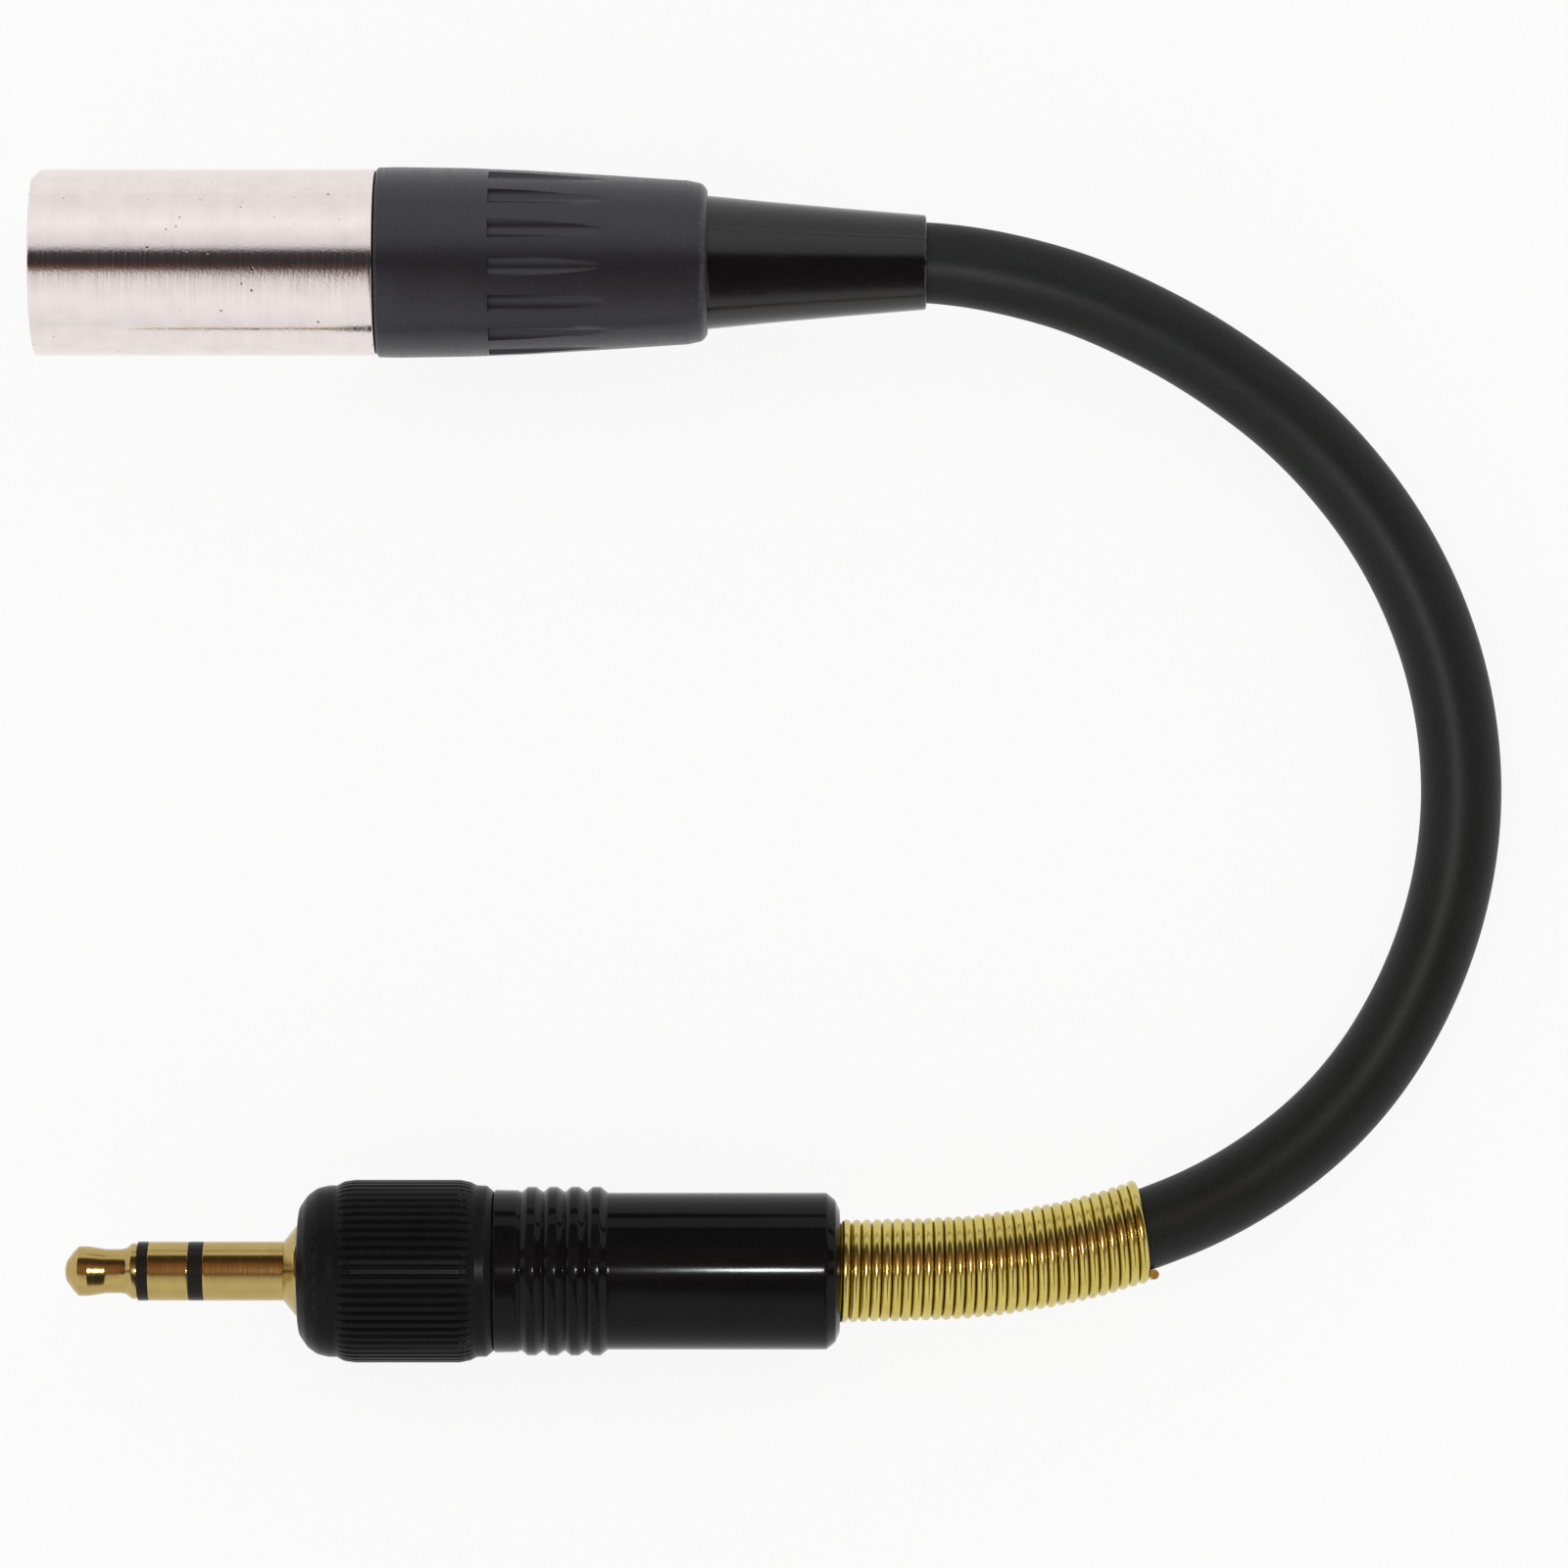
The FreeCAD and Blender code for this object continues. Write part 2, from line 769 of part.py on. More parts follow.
def make_lug(label, start, bore, od, turn, tag_length):
    """A solder lug: a disc on the contact's tube, an arm and a bent tag."""
    item = plug_body(label, turn)
    outside = od / 2
    rear = start + D.lug_thick
    tag_top = D.lug_tag + D.lug_thick
    turned(item, "disc", block(start, rear, bore / 2, outside))
    plate(item, "arm", block(start, rear, outside - D.lug_thick, tag_top), D.lug_width)
    plate(item, "tag", block(start, start + tag_length, D.lug_tag, tag_top), D.lug_width)


def make_plug_cable_clamp():
    """Ring on the sleeve's nose, an arm, and a band that is crimped round the jacket."""
    item = plug_body("plug_cable_clamp", -90.0)
    arm_top = D.clamp_arm + D.clamp_thick
    band_end = CLAMP_BAND + D.clamp_band
    grip = D.cable_od / 2 + 0.03
    crimped = 300.0
    turned(item, "ring", block(HUB_REAR, HUB_REAR + D.clamp_thick, D.nose_od / 2, arm_top))
    plate(item, "arm", block(HUB_REAR, band_end, D.clamp_arm, arm_top), D.clamp_band)
    turned(item, "band", block(CLAMP_BAND, band_end, grip, grip + D.clamp_thick), crimped)


# Cable, wires and spring

# Points of the cable's route, from the boot's face to the barrel's face
CABLE_ROUTE = [
    (26.43, 29.80, 5.64),
    (31.0, 29.2, 5.6),
    (36.7, 27.6, 5.25),
    (43.3, 24.3, 4.3),
    (49.8, 19.4, 3.1),
    (55.2, 12.6, 2.4),
    (58.3, 4.6, 2.4),
    (58.9, -3.9, 2.4),
    (56.8, -12.3, 2.4),
    (52.1, -19.9, 2.5),
    (45.3, -25.4, 3.1),
    (37.4, -28.5, 4.3),
    (30.5, -29.75, 5.0),
    (25.7, -29.97, 5.36),
    (21.31, -30.03, 5.41),
]
# The share of a route's shorter run that an arc takes from it
ARC_SHARE = 0.45
# Where the spring's free end is, turned from the top of the cable towards -Y
FREE_END_TURN = math.radians(80)
QUARTERS = 4


def rounded_path(points, radius=None):
    """Straight runs joined by tangent arcs: the edges, their length and the arc radii."""
    points = [Vector(*p) for p in points]
    edges = []
    radii = []
    start = points[0]
    for before, corner, after in zip(points, points[1:], points[2:]):
        back = (before - corner).normalize()
        ahead = (after - corner).normalize()
        half_turn = (math.pi - back.getAngle(ahead)) / 2
        cut = ARC_SHARE * min((before - corner).Length, (after - corner).Length)
        if radius is not None:
            cut = radius * math.tan(half_turn)
        bend = cut / math.tan(half_turn)
        inward = (back + ahead).normalize()
        arc_start = corner + back * cut
        arc_end = corner + ahead * cut
        arc_middle = corner + inward * (bend / math.cos(half_turn) - bend)
        if (arc_start - start).Length > 1e-6:
            edges.append(Part.LineSegment(start, arc_start).toShape())
        edges.append(Part.Arc(arc_start, arc_middle, arc_end).toShape())
        radii.append(bend)
        start = arc_end
    edges.append(Part.LineSegment(start, points[-1]).toShape())
    return edges, sum(edge.Length for edge in edges), radii


def swept(edges, radius):
    """A round tube or wire along a chain of edges."""
    first = edges[0]
    start = first.valueAt(first.FirstParameter)
    heading = first.tangentAt(first.FirstParameter)
    section = Part.Wire([Part.makeCircle(float(radius), start, heading)])
    return Part.Wire(edges).makePipeShell([section], True, False)


def free_piece(label, shape, place=(0.0, 0.0, 0.0), turn=0.0):
    """A piece whose shape is made from curves that no body feature draws."""
    item = doc.addObject("Part::Feature", label)
    item.Label = label
    item.Shape = shape
    item.Placement = Placement(Vector(*[float(c) for c in place]), Rotation(Vector(1, 0, 0), turn))
    PARTS.append(item)


def make_cable():
    """The free stretch of cable, with its radii and its volume printed; returns its path."""
    edges, length, radii = rounded_path(CABLE_ROUTE)
    radius = float(D.cable_od) / 2
    shape = swept(edges, radius)
    print("cable length %.2f, radii %s" % (length, ", ".join("%.1f" % r for r in radii)))
    print("cable volume %.2f, section times length %.2f"
          % (shape.Volume, math.pi * radius ** 2 * length))
    free_piece("cable", shape)
    return edges


def make_wire(label, route, covered, bare, place, turn):
    """A wire along its route, with bare strands in line beyond the route's end."""
    shape = swept(rounded_path(route)[0], covered / 2)
    if bare:
        start = Vector(*route[-1]) - Vector(bare, 0, 0)
        strands = Part.makeCylinder(float(D.strand_od) / 2, bare + PAST, start, Vector(1, 0, 0))
        shape = shape.fuse(strands).removeSplitter()
    free_piece(label, shape, place, turn)


def make_xlr_wires():
    """Cores to pins 2 and 3, the twisted screen to pin 1, and the jacket's end."""
    place = (D.xlr_front, D.xlr_side, D.xlr_height)
    jacket = xlr_body("xlr_cable_end")
    turned(jacket, "jacket", block(JACKET_END, BOOT_FACE - 0.5, 0.0, D.cable_od / 2))
    at_pin = float(D.pin_circle) / 2
    cup = float(CUP_END)
    stripped = float(JACKET_END)
    in_jacket = 1.2
    lead = 0.6
    in_cup = 2.3
    for number, turn in enumerate(PIN_TURNS[1:], start=1):
        route = [
            (stripped, in_jacket, 0),
            (stripped - lead, in_jacket, 0),
            (cup + lead + 0.1, at_pin, 0),
            (cup + 0.1, at_pin, 0),
        ]
        make_wire("xlr_core_%d" % number, route, D.core_od, in_cup, place, turn)
    route = [
        (stripped, in_jacket + 0.2, 0),
        (stripped - lead, in_jacket + 0.2, 0),
        (cup + lead, at_pin, 0),
        (cup - in_cup + 0.1, at_pin, 0),
    ]
    make_wire("xlr_screen_tail", route, D.screen_od, 0.0, place, PIN_TURNS[0])


def make_plug_wires():
    """Cores to the two lugs, the twisted screen to the clamp, and the jacket's end."""
    place = (D.plug_front, D.plug_side, D.plug_height)
    jacket = plug_body("plug_cable_end")
    turned(jacket, "jacket", block(PLUG_JACKET, BARREL_FACE - 0.1, 0.0, D.cable_od / 2))
    stripped = float(PLUG_JACKET)
    on_tag = float(D.lug_tag) - float(D.strand_od) / 2
    bare = 1.6
    for number, turn, covered in ((1, 0.0, 1.4), (2, 180.0, 0.3)):
        route = [(stripped, on_tag, 0), (stripped - covered, on_tag, 0)]
        make_wire("plug_core_%d" % number, route, D.core_od, bare, place, turn)
    in_jacket = 1.7
    on_arm = 2.3
    route = [
        (stripped, in_jacket, 0),
        (stripped - 0.9, in_jacket, 0),
        (stripped - 2.1, on_arm, 0),
        (stripped - 4.3, on_arm, 0),
    ]
    make_wire("plug_screen_tail", route, D.screen_od, 0.0, place, -90.0)


def along(edges, distance):
    """The place and heading at a distance back from the end of a chain, or beyond it."""
    if distance <= 0:
        last = edges[-1]
        end = last.valueAt(last.LastParameter)
        heading = last.tangentAt(last.LastParameter) * -1
        return end + heading * distance, heading
    left = distance
    for edge in reversed(edges):
        if left <= edge.Length:
            at = edge.getParameterByLength(edge.Length - left)
            return edge.valueAt(at), edge.tangentAt(at) * -1
        left -= edge.Length
    raise RuntimeError("the spring is longer than the cable")


def coil_point(edges, distance, last, pitch, radius):
    """A point of the left-handed spring's wire, at its distance along the axis."""
    centre, heading = along(edges, distance)
    up = (Vector(0, 0, 1) - heading * heading.z).normalize()
    side = heading.cross(up)
    angle = FREE_END_TURN + 2 * math.pi * (last - distance) / pitch
    return centre + (up * math.cos(angle) + side * math.sin(angle)) * radius


def biarc(p0, t0, p1, t1):
    """Two arcs, tangent to each other and to both end headings."""
    gap = p1 - p0
    both = t0 + t1
    dot = gap.dot(both)
    rest = 2 * (1 - t0.dot(t1))
    reach = (-dot + math.sqrt(dot * dot + rest * gap.dot(gap))) / rest
    join = (p0 + p1) * 0.5 + (t0 - t1) * (reach / 2)
    arcs = []
    for start, heading, end in ((p0, t0, join), (p1, t1 * -1, join)):
        chord = end - start
        normal = (chord - heading * chord.dot(heading)).normalize()
        turn = 2 * heading.getAngle(chord)
        bend = chord.Length / (2 * math.sin(turn / 2))
        centre = start + normal * bend
        middle = centre + (heading * math.sin(turn / 2) - normal * math.cos(turn / 2)) * bend
        arcs.append((start, middle, end))
    (a0, a1, a2), (b0, b1, b2) = arcs
    return [Part.Arc(a0, a1, a2).toShape(), Part.Arc(b2, b1, b0).toShape()]


def print_least_gap(coil, first, last, pitch, wire):
    """Print the least gap between one turn of a coil and the next, measured on points."""
    per_turn = 48
    step = pitch / per_turn
    samples = [coil(first + step * i) for i in range(int((last - first) / step))]
    least = min(
        samples[i].distanceToPoint(samples[j])
        for i in range(len(samples))
        for j in range(i + per_turn // 2, min(i + per_turn * 3 // 2 + 1, len(samples)))
    )
    print("strain_relief_spring turns %.1f, least gap to itself %.3f"
          % ((last - first) / pitch, least - wire))


def make_spring(cable_edges):
    """Spring over the cable, its first turn seated in the barrel, one unbroken wire."""
    wire = float(D.spring_wire)
    pitch = float(D.spring_pitch)
    radius = (float(D.spring_od) - wire) / 2
    bend = 0.55
    first = -(float(D.spring_seat_depth) - bend - wire)
    quarters = int(QUARTERS * (float(D.spring_length) - wire / 2 - first) / pitch)
    marks = [first + pitch * i / QUARTERS for i in range(quarters + 1)]

    def coil(mark):
        return coil_point(cable_edges, mark, marks[-1], pitch, radius)

    def heading_at(mark):
        nudge = 1e-4
        return (coil(mark + nudge) - coil(mark - nudge)).normalize()

    places = [coil(mark) for mark in marks]
    headings = [heading_at(mark) for mark in marks]
    inward = along(cable_edges, first)[1] * -1
    half_turn = (math.pi - headings[0].getAngle(inward)) / 2
    corner = places[0] - headings[0] * (bend * math.tan(half_turn) + 0.02)
    foot = corner + inward * (bend * math.tan(half_turn) + wire)
    edges = rounded_path([foot, corner, places[0]], bend)[0]
    for i in range(quarters):
        edges += biarc(places[i], headings[i], places[i + 1], headings[i + 1])
    edges.append(Part.LineSegment(places[-1], places[-1] + headings[-1] * wire).toShape())
    shape = swept(edges, wire / 2)
    print_least_gap(coil, marks[0], marks[-1], pitch, wire)
    print("strain_relief_spring volume %.3f, section times length %.3f"
          % (shape.Volume, math.pi * wire * wire / 4 * sum(edge.Length for edge in edges)))
    free_piece("strain_relief_spring", shape)


make_xlr_shell()
make_xlr_insert()
for pin_number, pin_turn in enumerate(PIN_TURNS, start=1):
    make_xlr_pin(pin_number, pin_turn)
make_xlr_ground_tab()
make_xlr_chuck()
make_xlr_bushing()
make_xlr_boot()
make_xlr_wires()

make_plug_tip()
make_banded_tube("plug_front_insulator", D.tip_length, D.front_band,
                 D.front_tube, D.rod_od, LUG_WASHER)
make_banded_tube("plug_ring", RING_START, D.ring_length,
                 D.ring_tube, D.front_tube, LUG_WASHER)
make_banded_tube("plug_rear_insulator", REAR_BAND, D.rear_band,
                 D.rear_tube, D.ring_tube, NOSE_REAR)
make_plug_sleeve()
make_ring_clip()
make_locking_ring()
make_washer("plug_base_washer", NOSE_REAR, D.ring_tube, D.base_washer_od)
make_lug("plug_ring_lug", RING_LUG, D.ring_tube, D.ring_lug_od, 0.0, D.ring_tag_length)
make_washer("plug_lug_washer", LUG_WASHER, D.rod_od, D.lug_washer_od)
make_lug("plug_tip_lug", TIP_LUG, D.rod_od, D.tip_lug_od, 180.0, D.tip_tag_length)
make_plug_cable_clamp()
make_plug_barrel()
make_barrel_liner()
make_plug_wires()

make_spring(make_cable())

doc.recompute()
for item in doc.Objects:
    if {"Invalid", "Error"} & set(item.State):
        raise RuntimeError("%s is %s" % (item.Label, item.State))
for item in PARTS:
    if item.Shape.isNull() or not item.Shape.isValid():
        raise RuntimeError("%s has no valid shape" % item.Label)

os.makedirs("parts", exist_ok=True)
for item in PARTS:
    item.Shape.exportStep("parts/%s.step" % item.Label)
print("%d pieces written" % len(PARTS))
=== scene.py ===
"""Short adapter lead: a small three-pin connector, a bent round cable and a locking 3.5 mm plug.

The lead lies flat on a pale floor and is seen from straight above. Sizes are in millimetres unless
a name says otherwise. Inside each connector, x counts from its open end, and angles count from the
top towards +Y.
"""

import logging
import math
from dataclasses import dataclass, field
from enum import Enum
from typing import Callable, Optional, Sequence, Union

import bmesh
import bpy
import numpy as np
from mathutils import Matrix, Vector


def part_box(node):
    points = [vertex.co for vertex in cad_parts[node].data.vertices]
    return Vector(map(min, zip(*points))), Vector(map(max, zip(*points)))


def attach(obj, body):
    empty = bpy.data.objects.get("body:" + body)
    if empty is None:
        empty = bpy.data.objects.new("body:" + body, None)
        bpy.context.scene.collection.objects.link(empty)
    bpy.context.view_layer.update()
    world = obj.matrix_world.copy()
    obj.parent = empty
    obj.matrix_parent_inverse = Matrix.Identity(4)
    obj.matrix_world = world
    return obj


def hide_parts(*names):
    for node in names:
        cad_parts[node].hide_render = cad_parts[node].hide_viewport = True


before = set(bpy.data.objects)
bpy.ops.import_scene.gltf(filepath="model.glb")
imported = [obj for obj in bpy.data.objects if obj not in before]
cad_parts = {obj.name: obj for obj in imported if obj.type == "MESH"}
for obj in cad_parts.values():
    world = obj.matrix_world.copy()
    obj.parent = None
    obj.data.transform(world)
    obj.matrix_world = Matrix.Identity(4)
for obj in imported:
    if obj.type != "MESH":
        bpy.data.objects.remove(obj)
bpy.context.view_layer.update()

LOG = logging.getLogger("lead")
MM = 0.001
TAU = 2 * math.pi

Triple = tuple[float, float, float]
Corner = tuple[float, ...]
Socket = bpy.types.NodeSocket
Value = Union[Socket, float, Triple]
Grid = np.ndarray
Relief = Callable[[Grid, Grid, Grid], tuple[Grid, Grid, Grid]]

ORIGIN: Triple = (0.0, 0.0, 0.0)


class Body(Enum):
    """The bodies that the pieces ride on."""

    ROOT = "root"
    RING = "locking_ring"


class Slot(Enum):
    """The record's material slots."""

    NICKEL = "nickel"
    BUSHING = "bushing_plastic"
    BOOT = "boot_rubber"
    JACKET = "cable_jacket"
    INSERT = "insert_plastic"
    COLLET = "collet_plastic"
    GOLD = "gold_plate"
    SPRING = "spring_gold"
    BAND = "band_plastic"
    RING = "ring_black"
    BARREL = "barrel_black"
    STEEL = "spring_steel"
    LINER = "liner_film"
    WASHER = "washer_fibre"
    CORE_WHITE = "core_white"
    CORE_RED = "core_red"
    TINNED = "tinned_copper"


class Graph:
    """Adds nodes to one node tree and joins them."""

    def __init__(self, tree: bpy.types.NodeTree) -> None:
        """Empty the tree and keep it."""
        self.tree = tree
        tree.nodes.clear()

    def add(self, kind: str, *values: Value, **settings: object) -> bpy.types.Node:
        """Add one node.

        Args:
            kind: The node's type, without the words ShaderNode in front.
            *values: What its inputs take, in order.
            **settings: Properties of the node.

        Returns:
            The new node.
        """
        node = self.tree.nodes.new(kind if kind.startswith("NodeGroup") else "ShaderNode" + kind)
        for name, value in settings.items():
            setattr(node, name, value)
        for socket, value in zip(node.inputs, values):
            self.feed(socket, value)
        return node

    def feed(self, socket: Socket, value: Value) -> None:
        """Join a socket to another one, or set its value.

        Args:
            socket: The input.
            value: An output, a number, a vector or a colour.
        """
        if isinstance(value, bpy.types.NodeSocket):
            self.tree.links.new(value, socket)
        elif isinstance(value, tuple) and len(socket.default_value) == 4:
            socket.default_value = (*value, 1.0)
        else:
            socket.default_value = value

    def fill(self, node: bpy.types.Node, **inputs: Value) -> bpy.types.Node:
        """Feed a node's inputs by name.

        Args:
            node: The node.
            **inputs: What they take.

        Returns:
            The same node.
        """
        for name, value in inputs.items():
            self.feed(node.inputs[name], value)
        return node

    def math(self, operation: str, *values: Value, clamp: bool = False) -> Socket:
        """Work out a number, kept between 0 and 1 where clamp is set."""
        return self.add("Math", *values, operation=operation, use_clamp=clamp).outputs[0]

    def vector(self, operation: str, *values: Value) -> Socket:
        """Work out a vector, or a number for DOT_PRODUCT."""
        node = self.add("VectorMath", *values, operation=operation)
        return node.outputs["Value" if operation == "DOT_PRODUCT" else "Vector"]

    def split(self, vector: Value) -> list[Socket]:
        """Split a vector into its three numbers."""
        return list(self.add("SeparateXYZ", vector).outputs)

    def mix(self, factor: Value, first: Value, second: Value) -> Socket:
        """Mix two colours.

        Args:
            factor: How much of the second colour shows.
            first: The colour at 0.
            second: The colour at 1.

        Returns:
            The mixed colour.
        """
        node = self.add("Mix", data_type="RGBA")
        for index, value in ((0, factor), (6, first), (7, second)):
            self.feed(node.inputs[index], value)
        return node.outputs[2]

    def span(self, value: Value, low: float, high: float, start: float = 0.0, end: float = 1.0,
             style: str = "LINEAR") -> Socket:
        """Map a number between low and high to one between start and end, and clamp it."""
        return self.add("MapRange", value, low, high, start, end, interpolation_type=style).outputs[0]

    def noise(self, place: Value, scale: Value, detail: float) -> Socket:
        """Give smooth noise around 0.5, from its scale and its number of octaves."""
        return self.fill(self.add("TexNoise"), Vector=place, Scale=scale, Detail=detail).outputs[0]

    def use(self, group: bpy.types.NodeTree, **inputs: Value) -> bpy.types.Node:
        """Place a node group and feed its inputs by name."""
        return self.fill(self.add("Group", node_tree=group), **inputs)


class Effect(Graph):
    """A node group that takes the centre of a piece's axis, in metres, and some numbers."""

    def __init__(self, name: str, numbers: dict[str, float], results: Sequence[str],
                 kind: str = "Float") -> None:
        """Start the group.

        Args:
            name: Its name.
            numbers: The numbers that it takes, with their defaults.
            results: What it puts out.
            kind: Whether the results are a Float or a Vector.
        """
        super().__init__(bpy.data.node_groups.new(name, "ShaderNodeTree"))
        sockets = self.tree.interface
        sockets.new_socket("Centre", in_out="INPUT", socket_type="NodeSocketVector")
        for label, default in numbers.items():
            socket = sockets.new_socket(label, in_out="INPUT", socket_type="NodeSocketFloat")
            socket.default_value = default
        for label in results:
            sockets.new_socket(label, in_out="OUTPUT", socket_type="NodeSocket" + kind)
        self.take = self.add("NodeGroupInput").outputs
        self.target = self.add("NodeGroupOutput")

    def close(self, **results: Socket) -> bpy.types.NodeTree:
        """Put out the results and give the finished tree."""
        self.fill(self.target, **results)
        return self.tree


class Effects:
    """The effects that the finishes share, each built once."""

    def __init__(self) -> None:
        """Build them, the ones that others use first."""
        self.place = self._place()
        self.turning = self._turning()
        self.grain = self._grain()
        self.specks = self._specks()
        self.wear = self._wear()
        self.dust = self._dust()

    def _local(self, effect: Effect) -> Socket:
        """Give an effect the place on the piece, in millimetres from its axis."""
        return effect.use(self.place, Centre=effect.take["Centre"]).outputs[0]

    def _place(self) -> bpy.types.NodeTree:
        """Turn a piece's own coordinates into millimetres from its axis.

        Returns:
            The group.
        """
        effect = Effect("PlaceFromAxis", {}, ["Place"], "Vector")
        local = effect.add("TexCoord").outputs["Object"]
        offset = effect.vector("SUBTRACT", local, effect.take["Centre"])
        return effect.close(Place=effect.vector("MULTIPLY", offset, (1 / MM, 1 / MM, 1 / MM)))

    def _turning(self) -> bpy.types.NodeTree:
        """Give the fine rings that a lathe leaves round a piece and across its faces.

        Returns:
            The group.
        """
        effect = Effect("TurningMarks", {"Lines": 8.0}, ["Height", "Tone"])
        along, side, up = effect.split(self._local(effect))
        radius = effect.math("SQRT", effect.math(
            "ADD", effect.math("POWER", side, 2.0), effect.math("POWER", up, 2.0)))
        safe = effect.math("MAXIMUM", radius, 0.05)
        lines = effect.math("MULTIPLY", effect.math("ADD", along, radius), effect.take["Lines"])
        ringed = effect.add("CombineXYZ", lines, effect.math("DIVIDE", side, safe),
                            effect.math("DIVIDE", up, safe)).outputs[0]
        return effect.close(Height=effect.noise(ringed, scale=1.0, detail=3.0),
                            Tone=effect.noise(ringed, scale=0.23, detail=2.0))

    def _grain(self) -> bpy.types.NodeTree:
        """Give an even fine grain and broad cloudy patches.

        Returns:
            The group.
        """
        effect = Effect("FineGrain", {"Grains": 10.0, "Patches": 0.3}, ["Height", "Tone"])
        place = self._local(effect)
        return effect.close(Height=effect.noise(place, effect.take["Grains"], detail=3.0),
                            Tone=effect.noise(place, effect.take["Patches"], detail=4.0))

    def _specks(self) -> bpy.types.NodeTree:
        """Give scattered small spots, such as pits in plating or flecks on rubber.

        Returns:
            The group.
        """
        effect = Effect("Specks", {"Cells": 2.0, "Share": 0.2, "Size": 0.15}, ["Mask"])
        cells = effect.fill(effect.add("TexVoronoi"), Vector=self._local(effect),
                            Scale=effect.take["Cells"])
        chance, growth = effect.add("SeparateColor", cells.outputs["Color"]).outputs[:2]
        chosen = effect.math("LESS_THAN", chance, effect.take["Share"])
        reach = effect.math("MULTIPLY", effect.take["Size"], effect.math("ADD", growth, 0.3))
        inside = effect.math("DIVIDE", effect.math("SUBTRACT", reach, cells.outputs["Distance"]),
                             effect.math("MULTIPLY", reach, 0.5), clamp=True)
        return effect.close(Mask=effect.math("MULTIPLY", inside, chosen))

    def _wear(self) -> bpy.types.NodeTree:
        """Give worn edges, from the amount of edge stored on each vertex.

        Returns:
            The group.
        """
        effect = Effect("EdgeWear", {"Amount": 0.5}, ["Mask"])
        edge = effect.add("Attribute", attribute_name="edge").outputs["Fac"]
        ragged = effect.noise(self._local(effect), scale=3.0, detail=4.0)
        worn = effect.math("MULTIPLY", edge, effect.span(ragged, 0.42, 0.68))
        return effect.close(Mask=effect.math("MULTIPLY", worn, effect.take["Amount"]))

    def _dust(self) -> bpy.types.NodeTree:
        """Give pale dust on what faces up.

        Returns:
            The group.
        """
        effect = Effect("Dust", {"Amount": 0.1}, ["Mask"])
        normal = effect.add("NewGeometry").outputs["Normal"]
        upward = effect.span(effect.vector("DOT_PRODUCT", normal, (0.0, 0.0, 1.0)), 0.0, 0.9)
        flecks = effect.use(self.specks, Centre=effect.take["Centre"], Cells=1.3, Share=0.16,
                            Size=0.055).outputs[0]
        cloud = effect.noise(self._local(effect), scale=5.0, detail=5.0)
        haze = effect.span(cloud, 0.5, 0.8, end=0.25)
        settled = effect.math("MULTIPLY", effect.math("MAXIMUM", flecks, haze), upward)
        return effect.close(Mask=effect.math("MULTIPLY", settled, effect.take["Amount"]))


EFFECTS = Effects()


def new_material(name: str) -> tuple[bpy.types.Material, Graph]:
    """Start a material.

    Args:
        name: Its name.

    Returns:
        The material and its empty graph.
    """
    made = bpy.data.materials.new(name)
    made.use_nodes = True
    return made, Graph(made.node_tree)


def add_object(name: str, data: bpy.types.ID) -> bpy.types.Object:
    """Put a new object into the scene.

    Args:
        name: Its name.
        data: Its mesh, curve, camera or light.

    Returns:
        The object.
    """
    made = bpy.data.objects.new(name, data)
    bpy.context.scene.collection.objects.link(made)
    return made


@dataclass(frozen=True)
class Specks:
    """Scattered spots: cells per millimetre, share of cells, size in a cell, colour and depth."""

    cells: float
    share: float
    size: float
    colour: Triple
    depth: float = 0.0


